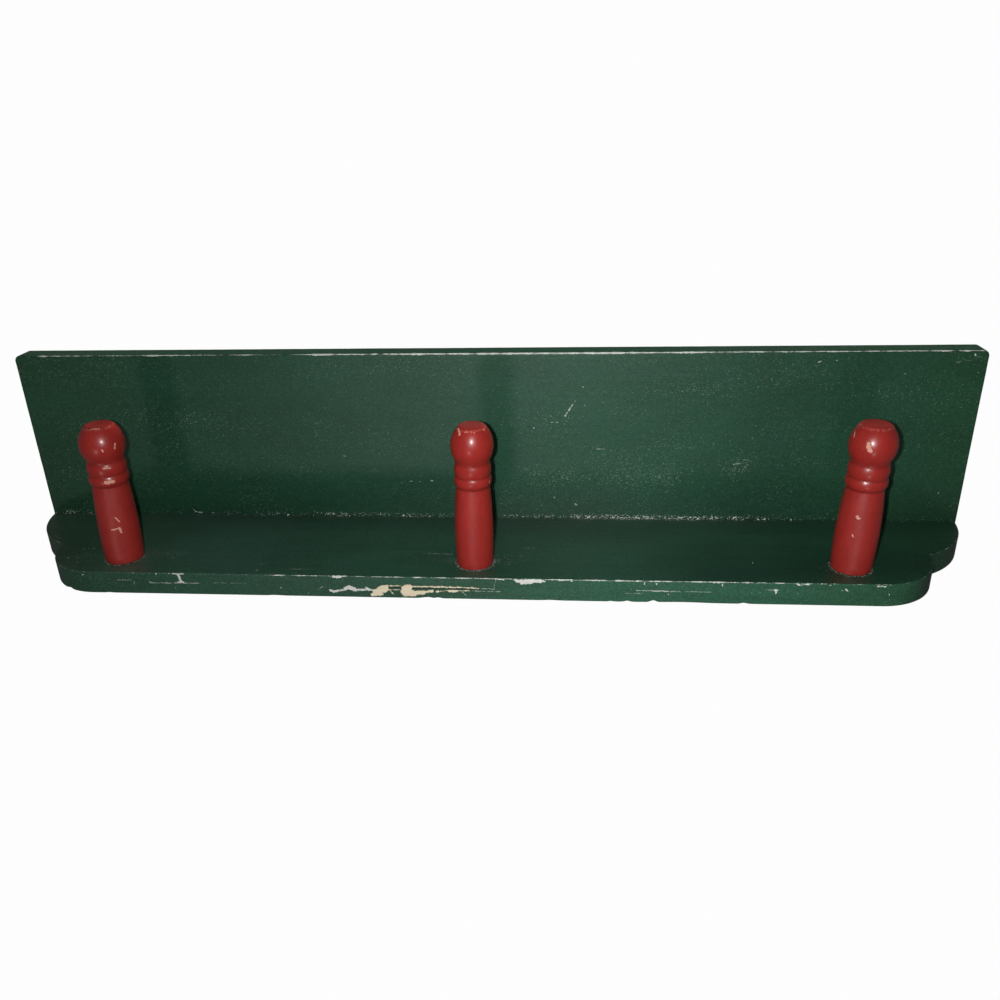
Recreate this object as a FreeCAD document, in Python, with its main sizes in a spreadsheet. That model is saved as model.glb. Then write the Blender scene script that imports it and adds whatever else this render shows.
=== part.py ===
"""Shaker peg rail with shelf: a shelf board on a sawn wall rail with three turned pegs.

Millimetres, +Z up, +X along the length, the wall at Y = 0 and the room towards -Y.
The origin is on the wall, midway between the two points that the shelf hangs from.
"""
import FreeCAD
import Part
import Sketcher
import math
import os

# Every driving size, with what it measures. Names that end in share are parts of another size.
SIZES = {
    "board_thickness": (14.3, "thickness of the shelf and of the rail"),
    "shelf_length": (609.6, "length of the shelf"),
    "shelf_depth": (127.0, "wall to the shelf's front edge"),
    "shelf_corner_radius": (4.0, "front corners of the shelf, seen from above"),
    "shelf_edge_round": (1.2, "eased edges of the shelf"),
    "rail_end_inset": (0.8, "end of the shelf to the end of the rail"),
    "rail_height": (83.6, "shelf's underside to the rail's lower edge"),
    "rail_edge_round": (0.8, "eased edges of the rail's face"),
    "lobe_radius": (55.8, "upper lobe at each end of the rail"),
    "lobe_step": (31.7, "how far the lower lobe stands in from the rail's end"),
    "lobe_drop": (46.6, "shelf's underside to the notch between the lobes"),
    "notch_radius": (0.6, "inner corner where the two lobes meet"),
    "hang_drop": (20.0, "shelf's underside to the hanging points"),
    "glue_gap": (0.1, "radial room for glue round tenons and plugs"),
    "peg_end_inset": (83.2, "end of the shelf to the axis of an outer peg"),
    "peg_drop": (63.2, "shelf's underside to the pegs' axes"),
    "peg_length": (88.0, "rail's face to the pegs' flat ends"),
    "tenon_diameter": (12.7, "round tenon of a peg"),
    "tenon_length": (10.5, "tenon inside the rail"),
    "tenon_end_gap": (0.6, "room past the tenon's end"),
    "tenon_chamfer": (0.8, "bevel at the tenon's end"),
    "base_diameter": (22.0, "peg where it meets the rail"),
    "belly_diameter": (22.5, "thickest part of the shaft"),
    "groove_diameter": (19.2, "groove below the beads"),
    "low_bead_diameter": (21.2, "bead next to the shaft"),
    "mid_groove_diameter": (19.8, "groove between the beads"),
    "high_bead_diameter": (20.8, "bead next to the knob"),
    "neck_diameter": (19.3, "neck below the knob"),
    "knob_foot_diameter": (20.1, "where the knob starts"),
    "knob_diameter": (25.0, "thickest part of the knob"),
    "rim_diameter": (15.6, "edge of the knob's flat end"),
    "flat_diameter": (14.0, "flat end of the knob"),
    "belly_share": (0.16, "place along the peg's length"),
    "groove_share": (0.578, "place along the peg's length"),
    "low_bead_share": (0.618, "place along the peg's length"),
    "mid_groove_share": (0.658, "place along the peg's length"),
    "high_bead_share": (0.7, "place along the peg's length"),
    "bead_end_share": (0.738, "place along the peg's length"),
    "neck_share": (0.753, "place along the peg's length"),
    "knob_foot_share": (0.772, "place along the peg's length"),
    "knob_share": (0.878, "place along the peg's length"),
    "rim_share": (0.995, "place along the peg's length"),
    "screw_count": (4, "screws that hold the shelf to the rail"),
    "screw_inset": (45.0, "end of the shelf to the first screw"),
    "long_screw_length": (38.0, "head to point"),
    "long_shank_diameter": (3.5, "shank and thread of a shelf screw"),
    "long_head_diameter": (7.0, "countersunk head of a shelf screw"),
    "long_point_length": (5.0, "tapered point of a shelf screw"),
    "long_hole_room": (0.15, "radial room round the shank in the shelf"),
    "pilot_end_gap": (1.0, "room past a screw's point"),
    "plug_diameter": (9.5, "wood plug over a shelf screw"),
    "plug_length": (5.5, "shelf's top to the screw's head"),
    "plug_chamfer": (0.6, "bevel at the plug's inner end"),
    "long_recess_length": (4.2, "cross recess of a shelf screw, arm to arm"),
    "long_recess_width": (1.0, "arm of that recess"),
    "long_recess_depth": (1.4, "depth of that recess"),
    "hanger_spacing": (406.4, "from hanging point to hanging point"),
    "hanger_length": (42.0, "keyhole plate, up and down"),
    "hanger_width": (15.0, "keyhole plate, across"),
    "hanger_thickness": (1.6, "keyhole plate"),
    "hanger_gap": (0.2, "room round the plate in its recess"),
    "hanger_rise": (6.0, "plate's middle to the hanging point"),
    "entry_diameter": (9.2, "round end of the keyhole"),
    "entry_drop": (9.0, "hanging point to the middle of the round end"),
    "slot_width": (4.6, "narrow end of the keyhole"),
    "relief_width": (11.6, "hollow behind the keyhole"),
    "relief_margin": (1.6, "hollow past the keyhole's two ends"),
    "relief_depth": (7.5, "hollow, measured from the plate"),
    "hanger_hole_spacing": (32.0, "between the two screws of a plate"),
    "short_screw_length": (10.0, "head to point"),
    "short_shank_diameter": (2.9, "shank and thread of a hanger screw"),
    "short_head_diameter": (5.4, "countersunk head of a hanger screw"),
    "short_point_length": (2.5, "tapered point of a hanger screw"),
    "short_hole_room": (0.1, "radial room round the shank in the plate"),
    "short_recess_length": (3.2, "cross recess of a hanger screw, arm to arm"),
    "short_recess_width": (0.8, "arm of that recess"),
    "short_recess_depth": (0.9, "depth of that recess"),
    "overrun": (2.0, "how far a cutter runs past the wood"),
}

FULL_TURN = 360
EIGHTH_TURN = 45
DRIVEN_FROM_BEHIND = -90
TOUCHING = 1e-4

HALF_SHELF = "Sizes.shelf_length / 2"
HALF_RAIL = f"({HALF_SHELF} - Sizes.rail_end_inset)"
PEG_SPACING = f"({HALF_SHELF} - Sizes.peg_end_inset)"
LOBE_CHORD = "sqrt(Sizes.lobe_step ^ 2 + Sizes.lobe_drop ^ 2)"
LOBE_BULGE = f"(Sizes.lobe_radius - sqrt(Sizes.lobe_radius ^ 2 - ({LOBE_CHORD} / 2) ^ 2))"
LOWER_LOBE_RADIUS = "(Sizes.rail_height - Sizes.lobe_drop)"
MID_BOARD = "Sizes.board_thickness / 2"
SCREW_RUN = "(Sizes.shelf_length - 2 * Sizes.screw_inset)"
FIRST_SCREW = "(Sizes.screw_inset - Sizes.shelf_length / 2)"
SCREW_SEAT = "(Sizes.board_thickness - Sizes.plug_length)"

# The pegs from left to right, each with its place in steps of the spacing.
PEGS = {"peg_left": -1, "peg_centre": 0, "peg_right": 1}

# The two hanging points, on either side of the middle, and the two screws of each plate.
SIDES = {"left": -1, "right": 1}
ENDS = {"lower": -1, "upper": 1}

doc = FreeCAD.newDocument("PegRailWithShelf")


def make_sheet():
    """Give each driving size its name and its meaning."""
    sheet = doc.addObject("Spreadsheet::Sheet", "Sizes")
    for row, (alias, (size, meaning)) in enumerate(SIZES.items(), start=1):
        sheet.set(f"A{row}", meaning)
        sheet.set(f"B{row}", str(size))
        sheet.setAlias(f"B{row}", alias)
    doc.recompute()
    return sheet


sheet = make_sheet()


def size_of(expression):
    """The present value of an expression in the driving sizes."""
    return float(sheet.evalExpression(expression))


def new_body(name):
    body = doc.addObject("PartDesign::Body", name)
    body.Label = name
    return body


def place(body, x=None, y=None, z=None):
    """Tie the piece's place to the driving sizes; an axis that is left out stays at zero."""
    for axis, expression in (("x", x), ("y", y), ("z", z)):
        if expression is not None:
            body.setExpression(f"Placement.Base.{axis}", expression)


def origin_feature(body, role):
    return next(feature for feature in body.Origin.OriginFeatures if feature.Role == role)


def new_sketch(body, name, role, lift=None, shift=None):
    """A sketch on one of the body's own planes, lifted off it and shifted across it."""
    sketch = body.newObject("Sketcher::SketchObject", name)
    sketch.AttachmentSupport = [(origin_feature(body, role), "")]
    sketch.MapMode = "FlatFace"
    if lift is not None:
        sketch.setExpression("AttachmentOffset.Base.z", lift)
    if shift is not None:
        sketch.setExpression("AttachmentOffset.Base.x", shift)
    return sketch


def pin_point(sketch, edge, end, x, y):
    """Hold one point of the sketch at x, y from the sketch's origin."""
    for kind, expression, axis in (("DistanceX", x, -2), ("DistanceY", y, -1)):
        if expression == 0:
            sketch.addConstraint(Sketcher.Constraint("PointOnObject", edge, end, axis))
            continue
        distance = Sketcher.Constraint(kind, -1, 1, edge, end, size_of(expression))
        index = sketch.addConstraint(distance)
        sketch.setExpression(f"Constraints[{index}]", expression)


def point_at(x, y):
    """A place in the sketch as it is now; a zero stays a zero."""
    across = size_of(x) if x else 0
    up = size_of(y) if y else 0
    return FreeCAD.Vector(across, up, 0)


def nearest_end(sketch, edge, point):
    """Which end of the edge lies at the point: 1 is its start and 2 its finish."""
    return min((1, 2), key=lambda end: sketch.getPoint(edge, end).distanceToPoint(point))


def draw_ring(sketch, corners):
    """Draw one closed outline.

    Each corner is (x, y) or (x, y, crown): with a crown, itself an (x, y), the edge to the
    next corner is the arc that passes through it, and without one it is straight.
    """
    ends = []
    for index, corner in enumerate(corners):
        start = point_at(*corner[:2])
        following = corners[(index + 1) % len(corners)]
        finish = point_at(*following[:2])
        if len(corner) > 2:
            crown = point_at(*corner[2])
            edge = sketch.addGeometry(Part.Arc(start, crown, finish))
        else:
            edge = sketch.addGeometry(Part.LineSegment(start, finish))
        ends.append((edge, nearest_end(sketch, edge, start), nearest_end(sketch, edge, finish)))
    for index, corner in enumerate(corners):
        edge, start_end, _ = ends[index]
        last_edge, _, last_end = ends[index - 1]
        sketch.addConstraint(Sketcher.Constraint("Coincident", last_edge, last_end, edge, start_end))
        pin_point(sketch, edge, start_end, *corner[:2])
        if len(corner) > 2:
            crown_point = sketch.addGeometry(Part.Point(point_at(*corner[2])), True)
            pin_point(sketch, crown_point, 1, *corner[2])
            sketch.addConstraint(Sketcher.Constraint("PointOnObject", crown_point, 1, edge))


def draw_circle(sketch, x, y, radius):
    circle = Part.Circle(point_at(x, y), FreeCAD.Vector(0, 0, 1), size_of(radius))
    edge = sketch.addGeometry(circle)
    pin_point(sketch, edge, 3, x, y)
    index = sketch.addConstraint(Sketcher.Constraint("Radius", edge, size_of(radius)))
    sketch.setExpression(f"Constraints[{index}]", radius)


def add_feature(body, kind, name, sketch, **lengths):
    """Add a feature that uses the sketch, with each length tied to the driving sizes."""
    feature = body.newObject(f"PartDesign::{kind}", name)
    feature.Profile = sketch
    for key, expression in lengths.items():
        feature.setExpression(key, expression)
    return feature


def add_pad(body, name, sketch, length):
    pad = add_feature(body, "Pad", name, sketch, Length=length)
    doc.recompute()
    return pad


def add_turned(body, kind, name, sketch):
    """A full turn of the sketch about its upright axis: a Revolution adds, a Groove cuts."""
    before = body.Shape.Volume if kind == "Groove" else 0
    turned = add_feature(body, kind, name, sketch)
    turned.ReferenceAxis = (sketch, ["V_Axis"])
    turned.Angle = FULL_TURN
    doc.recompute()
    if kind == "Groove":
        confirm_cut(body, name, before)
    return turned


def add_pocket(body, name, sketch, depth, reverse=False):
    before = body.Shape.Volume
    pocket = add_feature(body, "Pocket", name, sketch, Length=depth)
    pocket.Reversed = reverse
    doc.recompute()
    confirm_cut(body, name, before)
    return pocket


def confirm_cut(body, name, before):
    if body.Shape.Volume >= before:
        raise RuntimeError(f"{name} cuts nothing out of {body.Label}")


def repeat_in_line(body, name, feature, role, length, count):
    """Copies of a feature in a line, spread evenly over the length."""
    pattern = body.newObject("PartDesign::LinearPattern", name)
    pattern.Originals = [feature]
    pattern.Direction = (origin_feature(body, role), [""])
    pattern.setExpression("Length", length)
    pattern.setExpression("Occurrences", count)
    body.Tip = pattern
    doc.recompute()
    return pattern


def dress_edges(body, kind, name, keep, size_name, expression):
    """Round or bevel the edges of the present solid that keep() picks, in the body's own frame."""
    base = body.Tip
    names = [f"Edge{index}" for index, edge in enumerate(base.Shape.Edges, start=1) if keep(edge)]
    dressing = body.newObject(f"PartDesign::{kind}", name)
    dressing.Base = (base, names)
    dressing.setExpression(size_name, expression)
    doc.recompute()
    return dressing


def lies_at(edge, axis, place):
    """True where both ends and the middle of the edge have this coordinate."""
    middle = edge.valueAt((edge.FirstParameter + edge.LastParameter) / 2)
    points = [vertex.Point for vertex in edge.Vertexes] + [middle]
    return all(math.isclose(getattr(point, axis), place, abs_tol=TOUCHING) for point in points)


def draw_upright_slot(sketch, x, top, bottom, width):
    """A slot with round ends, from its lowest to its highest point."""
    left = f"{x} - ({width}) / 2"
    right = f"{x} + ({width}) / 2"
    low = f"{bottom} + ({width}) / 2"
    high = f"{top} - ({width}) / 2"
    draw_ring(sketch, [
        (left, low, (x, bottom)),
        (right, low),
        (right, high, (x, top)),
        (left, high),
    ])


def make_shelf():
    """The shelf board, screwed down through counterbored holes in line with the rail."""
    body = new_body("shelf_board")
    place(body, z="Sizes.hang_drop")
    outline = new_sketch(body, "shelf_outline", "XY_Plane")
    draw_ring(outline, [
        (f"-{HALF_SHELF}", "-Sizes.shelf_depth"),
        (HALF_SHELF, "-Sizes.shelf_depth"),
        (HALF_SHELF, 0),
        (f"-{HALF_SHELF}", 0),
    ])
    add_pad(body, "board", outline, "Sizes.board_thickness")

    front = -size_of("Sizes.shelf_depth")
    thickness = size_of("Sizes.board_thickness")
    dress_edges(body, "Fillet", "front_corners", lambda edge: lies_at(edge, "y", front)
                and not lies_at(edge, "z", 0) and not lies_at(edge, "z", thickness),
                "Radius", "Sizes.shelf_corner_radius")
    dress_edges(body, "Fillet", "eased_edges", lambda edge: not lies_at(edge, "y", 0)
                and (lies_at(edge, "z", 0) or lies_at(edge, "z", thickness)),
                "Radius", "Sizes.shelf_edge_round")

    hole = new_sketch(body, "screw_hole", "XZ_Plane", lift=MID_BOARD, shift=FIRST_SCREW)
    hole_radius = "(Sizes.long_shank_diameter / 2 + Sizes.long_hole_room)"
    head_radius = "Sizes.long_head_diameter / 2"
    draw_ring(hole, [
        (0, "-Sizes.overrun"),
        (hole_radius, "-Sizes.overrun"),
        (hole_radius, f"{SCREW_SEAT} - {head_radius} + {hole_radius}"),
        (head_radius, SCREW_SEAT),
        ("Sizes.plug_diameter / 2", SCREW_SEAT),
        ("Sizes.plug_diameter / 2", "Sizes.board_thickness + Sizes.overrun"),
        (0, "Sizes.board_thickness + Sizes.overrun"),
    ])
    cut = add_turned(body, "Groove", "first_hole", hole)
    repeat_in_line(body, "screw_holes", cut, "X_Axis", SCREW_RUN, "Sizes.screw_count")
    return body


def draw_rail_outline(sketch):
    """The rail from behind: two stacked round lobes on each end, meeting in a notch."""
    upper_crown = (f"{HALF_RAIL} - Sizes.lobe_step / 2"
                   f" + {LOBE_BULGE} * Sizes.lobe_drop / {LOBE_CHORD}",
                   f"-Sizes.lobe_drop / 2 - {LOBE_BULGE} * Sizes.lobe_step / {LOBE_CHORD}")
    notch = (f"{HALF_RAIL} - Sizes.lobe_step", "-Sizes.lobe_drop")
    lower_middle = f"({HALF_RAIL} - Sizes.lobe_step - {LOWER_LOBE_RADIUS})"
    lower_crown = (f"{lower_middle} + {LOWER_LOBE_RADIUS} * cos({EIGHTH_TURN})",
                   f"-Sizes.lobe_drop - {LOWER_LOBE_RADIUS} * sin({EIGHTH_TURN})")
    foot = (lower_middle, "-Sizes.rail_height")

    def across(point):
        return (f"-({point[0]})", point[1])

    draw_ring(sketch, [
        (HALF_RAIL, 0, upper_crown),
        (*notch, lower_crown),
        foot,
        (*across(foot), across(lower_crown)),
        (*across(notch), across(upper_crown)),
        (f"-({HALF_RAIL})", 0),
    ])


def make_rail():
    """The wall rail: bored for the pegs in front, let in for the hangers behind."""
    body = new_body("peg_rail")
    place(body, z="Sizes.hang_drop")
    outline = new_sketch(body, "rail_outline", "XZ_Plane")
    draw_rail_outline(outline)
    add_pad(body, "board", outline, "Sizes.board_thickness")

    notch = -size_of("Sizes.lobe_drop")
    dress_edges(body, "Fillet", "notches", lambda edge: lies_at(edge, "z", notch),
                "Radius", "Sizes.notch_radius")
    face = -size_of("Sizes.board_thickness")
    dress_edges(body, "Fillet", "eased_edges",
                lambda edge: lies_at(edge, "y", face) and not lies_at(edge, "z", 0),
                "Radius", "Sizes.rail_edge_round")

    bores = new_sketch(body, "tenon_holes", "XZ_Plane", lift="Sizes.board_thickness")
    for steps in PEGS.values():
        draw_circle(bores, steps and f"{steps} * {PEG_SPACING}", "-Sizes.peg_drop",
                    "Sizes.tenon_diameter / 2 + Sizes.glue_gap")
    add_pocket(body, "tenon_bores", bores, "Sizes.tenon_length + Sizes.tenon_end_gap")

    cut_screw_pilots(body)
    cut_hanger_seats(body)
    return body


def cut_screw_pilots(body):
    """Holes down into the rail's top edge for the shelf's screws."""
    pilot = new_sketch(body, "screw_pilot", "XZ_Plane", lift=MID_BOARD, shift=FIRST_SCREW)
    radius = "Sizes.long_shank_diameter / 2"
    bottom = f"({SCREW_SEAT} - Sizes.long_screw_length - Sizes.pilot_end_gap)"
    draw_ring(pilot, [
        (0, "Sizes.overrun"),
        (radius, "Sizes.overrun"),
        (radius, f"{bottom} + Sizes.long_point_length"),
        (0, bottom),
    ])
    cut = add_turned(body, "Groove", "first_pilot", pilot)
    repeat_in_line(body, "screw_pilots", cut, "X_Axis", SCREW_RUN, "Sizes.screw_count")


def cut_hanger_seats(body):
    """Behind each hanging point: a recess for the plate, and a hollow for the wall screw's head."""
    recess = new_sketch(body, "plate_recess", "XZ_Plane")
    hollow = new_sketch(body, "head_hollow", "XZ_Plane")
    pilots = new_sketch(body, "small_pilots", "XZ_Plane")
    middle = "-Sizes.hang_drop - Sizes.hanger_rise"
    reach = "Sizes.hanger_length / 2 + Sizes.hanger_gap"
    for side in SIDES.values():
        x = f"{side} * Sizes.hanger_spacing / 2"
        draw_upright_slot(recess, x, f"{middle} + {reach}", f"{middle} - ({reach})",
                          "Sizes.hanger_width + 2 * Sizes.hanger_gap")
        draw_upright_slot(hollow, x,
                          "-Sizes.hang_drop + Sizes.slot_width / 2 + Sizes.relief_margin",
                          "-Sizes.hang_drop - Sizes.entry_drop - Sizes.entry_diameter / 2"
                          " - Sizes.relief_margin",
                          "Sizes.relief_width")
        for end in ENDS.values():
            draw_circle(pilots, x, f"{middle} + {end} * Sizes.hanger_hole_spacing / 2",
                        "Sizes.short_shank_diameter / 2")
    add_pocket(body, "plate_recesses", recess, "Sizes.hanger_thickness", reverse=True)
    add_pocket(body, "head_hollows", hollow, "Sizes.hanger_thickness + Sizes.relief_depth", reverse=True)
    add_pocket(body, "small_pilot_holes", pilots, "Sizes.short_screw_length + Sizes.pilot_end_gap",
               reverse=True)


def make_peg(name, steps):
    """A turned peg: round tenon, tapering shaft, two beads, neck and a knob with a flat end."""
    body = new_body(name)
    place(body, x=f"{steps} * {PEG_SPACING}", y="-Sizes.board_thickness",
          z="Sizes.hang_drop - Sizes.peg_drop")
    profile = new_sketch(body, "profile", "XY_Plane")

    def at(size_name, share_name):
        return (f"Sizes.{size_name}_diameter / 2", f"-Sizes.peg_length * Sizes.{share_name}_share")

    tenon_radius = "Sizes.tenon_diameter / 2"
    draw_ring(profile, [
        (0, "Sizes.tenon_length"),
        (f"{tenon_radius} - Sizes.tenon_chamfer", "Sizes.tenon_length"),
        (tenon_radius, "Sizes.tenon_length - Sizes.tenon_chamfer"),
        (tenon_radius, 0),
        ("Sizes.base_diameter / 2", 0, at("belly", "belly")),
        (*at("groove", "groove"), at("low_bead", "low_bead")),
        (*at("mid_groove", "mid_groove"), at("high_bead", "high_bead")),
        (*at("mid_groove", "bead_end"), at("neck", "neck")),
        (*at("knob_foot", "knob_foot"), at("knob", "knob")),
        at("rim", "rim"),
        ("Sizes.flat_diameter / 2", "-Sizes.peg_length"),
        (0, "-Sizes.peg_length"),
    ])
    add_turned(body, "Revolution", "turning", profile)
    return body


def make_screw(name, size):
    """A long or short countersunk wood screw, head up, with a cross recess in its head."""
    body = new_body(name)
    head = f"Sizes.{size}_head_diameter / 2"
    shank = f"Sizes.{size}_shank_diameter / 2"
    length = f"Sizes.{size}_screw_length"
    profile = new_sketch(body, "profile", "XZ_Plane")
    draw_ring(profile, [
        (0, 0),
        (head, 0),
        (shank, f"{shank} - {head}"),
        (shank, f"Sizes.{size}_point_length - {length}"),
        (0, f"-{length}"),
    ])
    add_turned(body, "Revolution", "turning", profile)

    reach = f"Sizes.{size}_recess_length / 2"
    half_width = f"Sizes.{size}_recess_width / 2"
    for arm, x, y in (("first", reach, half_width), ("second", half_width, reach)):
        cross = new_sketch(body, f"{arm}_arm", "XY_Plane")
        draw_ring(cross, [(f"-{x}", f"-{y}"), (x, f"-{y}"), (x, y), (f"-{x}", y)])
        add_pocket(body, f"{arm}_slot", cross, f"Sizes.{size}_recess_depth")
    return body


def make_shelf_fasteners():
    """Each shelf screw, and the wood plug that covers it."""
    count = int(SIZES["screw_count"][0])
    pieces = []
    for index in range(count):
        x = f"{FIRST_SCREW} + {index} * {SCREW_RUN} / (Sizes.screw_count - 1)"
        screw = make_screw(f"shelf_screw_{index + 1}", "long")
        place(screw, x=x, y=f"-{MID_BOARD}", z=f"Sizes.hang_drop + {SCREW_SEAT}")
        plug = make_plug(f"screw_plug_{index + 1}")
        place(plug, x=x, y=f"-{MID_BOARD}", z=f"Sizes.hang_drop + {SCREW_SEAT}")
        pieces += [screw, plug]
    return pieces


def make_plug(name):
    """A wood plug, bevelled at its inner end and flush with the shelf's top."""
    body = new_body(name)
    outline = new_sketch(body, "round", "XY_Plane")
    draw_circle(outline, 0, 0, "Sizes.plug_diameter / 2 - Sizes.glue_gap")
    add_pad(body, "plug", outline, "Sizes.plug_length")
    dress_edges(body, "Chamfer", "inner_bevel", lambda edge: lies_at(edge, "z", 0),
                "Size", "Sizes.plug_chamfer")
    return body


def make_hanger(name, side):
    """A keyhole plate: a round entry below a narrow slot, and a countersunk hole at each end."""
    body = new_body(name)
    place(body, x=f"{side} * Sizes.hanger_spacing / 2")
    outline = new_sketch(body, "plate_outline", "XZ_Plane")
    draw_upright_slot(outline, 0, "Sizes.hanger_length / 2 - Sizes.hanger_rise",
                      "-Sizes.hanger_length / 2 - Sizes.hanger_rise", "Sizes.hanger_width")
    add_pad(body, "plate", outline, "Sizes.hanger_thickness")

    keyhole = new_sketch(body, "keyhole", "XZ_Plane")
    half_slot = "Sizes.slot_width / 2"
    entry_radius = "Sizes.entry_diameter / 2"
    shoulder = f"sqrt(({entry_radius})^2 - ({half_slot})^2) - Sizes.entry_drop"
    draw_ring(keyhole, [
        (f"-{half_slot}", shoulder, (0, f"-Sizes.entry_drop - {entry_radius}")),
        (half_slot, shoulder),
        (half_slot, 0, (0, half_slot)),
        (f"-{half_slot}", 0),
    ])
    add_pocket(body, "keyhole_cut", keyhole, "Sizes.hanger_thickness + Sizes.overrun", reverse=True)

    hole = new_sketch(body, "screw_hole", "XY_Plane",
                      lift="-Sizes.hanger_rise - Sizes.hanger_hole_spacing / 2")
    head_radius = "Sizes.short_head_diameter / 2"
    hole_radius = "(Sizes.short_shank_diameter / 2 + Sizes.short_hole_room)"
    draw_ring(hole, [
        (0, "Sizes.overrun"),
        (head_radius, "Sizes.overrun"),
        (head_radius, 0),
        (hole_radius, f"{hole_radius} - {head_radius}"),
        (hole_radius, "-Sizes.hanger_thickness - Sizes.overrun"),
        (0, "-Sizes.hanger_thickness - Sizes.overrun"),
    ])
    cut = add_turned(body, "Groove", "lower_hole", hole)
    repeat_in_line(body, "screw_holes", cut, "Z_Axis", "Sizes.hanger_hole_spacing",
                   str(len(ENDS)))
    return body


def make_hangers():
    """Both keyhole plates, each with its two screws driven from the wall side."""
    pieces = []
    for side_name, side in SIDES.items():
        pieces.append(make_hanger(f"hanger_{side_name}", side))
        for end_name, end in ENDS.items():
            screw = make_screw(f"hanger_screw_{side_name}_{end_name}", "short")
            screw.Placement.Rotation = FreeCAD.Rotation(FreeCAD.Vector(1, 0, 0), DRIVEN_FROM_BEHIND)
            place(screw, x=f"{side} * Sizes.hanger_spacing / 2",
                  z=f"-Sizes.hanger_rise + {end} * Sizes.hanger_hole_spacing / 2")
            pieces.append(screw)
    return pieces


def confirm_sound():
    """Every object is in order before anything is written."""
    doc.recompute()
    for item in doc.Objects:
        if "Invalid" in item.State or "Error" in item.State:
            raise RuntimeError(f"{item.Name} failed: {item.State}")


def export_piece(body):
    if body.Shape.isNull() or not body.Shape.isValid() or len(body.Shape.Solids) != 1:
        raise RuntimeError(f"{body.Label} is not one sound solid")
    body.Shape.exportStep(os.path.join("parts", f"{body.Label}.step"))


os.makedirs("parts", exist_ok=True)
pieces = [make_shelf(), make_rail()]
pieces += [make_peg(name, steps) for name, steps in PEGS.items()]
pieces += make_shelf_fasteners()
pieces += make_hangers()
confirm_sound()
for piece in pieces:
    export_piece(piece)
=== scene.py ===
"""Shaker peg rail with shelf: brushed paint on pine boards, enamelled pegs, plated steel behind.

Metres, +Z up, the wall at Y = 0 and the room towards -Y. Tables of places are in millimetres.
"""
import math
from functools import partial

import bmesh
import bpy
from bpy.props import FloatProperty, FloatVectorProperty, IntProperty, PointerProperty
from mathutils import Euler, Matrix, Vector, geometry, noise


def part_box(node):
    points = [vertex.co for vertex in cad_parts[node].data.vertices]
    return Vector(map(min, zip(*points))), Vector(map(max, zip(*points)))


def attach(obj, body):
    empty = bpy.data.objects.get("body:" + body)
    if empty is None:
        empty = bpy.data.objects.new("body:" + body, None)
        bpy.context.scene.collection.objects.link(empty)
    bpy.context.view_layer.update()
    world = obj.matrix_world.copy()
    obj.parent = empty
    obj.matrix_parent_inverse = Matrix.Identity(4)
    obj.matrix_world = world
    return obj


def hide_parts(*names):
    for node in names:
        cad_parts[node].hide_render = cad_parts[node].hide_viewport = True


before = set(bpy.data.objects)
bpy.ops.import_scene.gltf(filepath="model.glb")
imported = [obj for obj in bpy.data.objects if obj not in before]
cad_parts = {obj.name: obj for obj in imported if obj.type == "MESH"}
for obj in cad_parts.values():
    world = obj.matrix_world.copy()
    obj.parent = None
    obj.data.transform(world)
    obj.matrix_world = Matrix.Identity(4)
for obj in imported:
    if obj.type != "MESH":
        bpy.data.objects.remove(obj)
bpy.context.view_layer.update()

bl_info = {
    "name": "Shaker peg rail with shelf",
    "version": (1, 0, 0),
    "blender": (4, 5, 0),
    "location": "3D View > Sidebar > Peg rail",
    "description": "Dresses a shaker peg rail with shelf in worn paint, and sets its stage",
    "category": "Object",
}

MM = 0.001
PER_METRE = 1000.0

# Where the solids lie, in millimetres: the rail's face and lower edge, the shelf and the pegs.
FACE = -14.3
FOOT = -63.6
UNDERSIDE = 20.0
SHELF_TOP = 34.3
SHELF_LENGTH = 609.6
PEG_AXIS = -43.2
PEG_SPACING = 221.6

# What painted shade, and the dirt and cracks among it, leave of the paint's colour.
SHADE = (0.25, 0.28, 0.27, 1.0)


def linear(hex_colour):
    """An sRGB hex colour as the linear red, green and blue that shaders use."""
    values = [int(hex_colour[place:place + 2], 16) / 255 for place in (0, 2, 4)]
    return tuple(v / 12.92 if v <= 0.04045 else ((v + 0.055) / 1.055) ** 2.4 for v in values)


def add_node(tree, kind, *inputs, **settings):
    """Add a node with its settings and links, and give its first output in use.

    The kind leaves out "ShaderNode" and may end in the node's main choice, as in "Math ADD".
    Inputs are values or sockets, for the inputs in use in their order or a dictionary by name.
    """
    kind, _, choice = kind.partition(" ")
    node = tree.nodes.new(kind if "Node" in kind else f"ShaderNode{kind}")
    if choice:
        settings["data_type" if kind == "Mix" else "operation"] = choice
    for key, value in settings.items():
        setattr(node, key, value)
    places = [socket for socket in node.inputs if socket.enabled]
    if inputs and isinstance(inputs[0], dict):
        places = [node.inputs[name] for name in inputs[0]]
        inputs = inputs[0].values()
    for place, value in zip(places, inputs):
        if isinstance(value, bpy.types.NodeSocket):
            tree.links.new(value, place)
        else:
            place.default_value = value
    return next((socket for socket in node.outputs if socket.enabled), None)


def new_group(name, kind, inputs, outputs):
    """An empty node group, what adds its nodes, and what its input node gives."""
    tree = bpy.data.node_groups.new(name, kind)
    for in_out, sockets in (("INPUT", inputs), ("OUTPUT", outputs)):
        for label, socket in sockets.items():
            tree.interface.new_socket(label, in_out=in_out, socket_type=f"NodeSocket{socket}")
    add = partial(add_node, tree)
    return tree, add, add("NodeGroupInput").node.outputs


# Settings

def number(name, default, description, unit="LENGTH"):
    return FloatProperty(name=name, default=default, unit=unit, description=description)


def colour(name, hex_colour, description):
    return FloatVectorProperty(name=name, default=linear(hex_colour), subtype="COLOR",
                               description=description)


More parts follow.
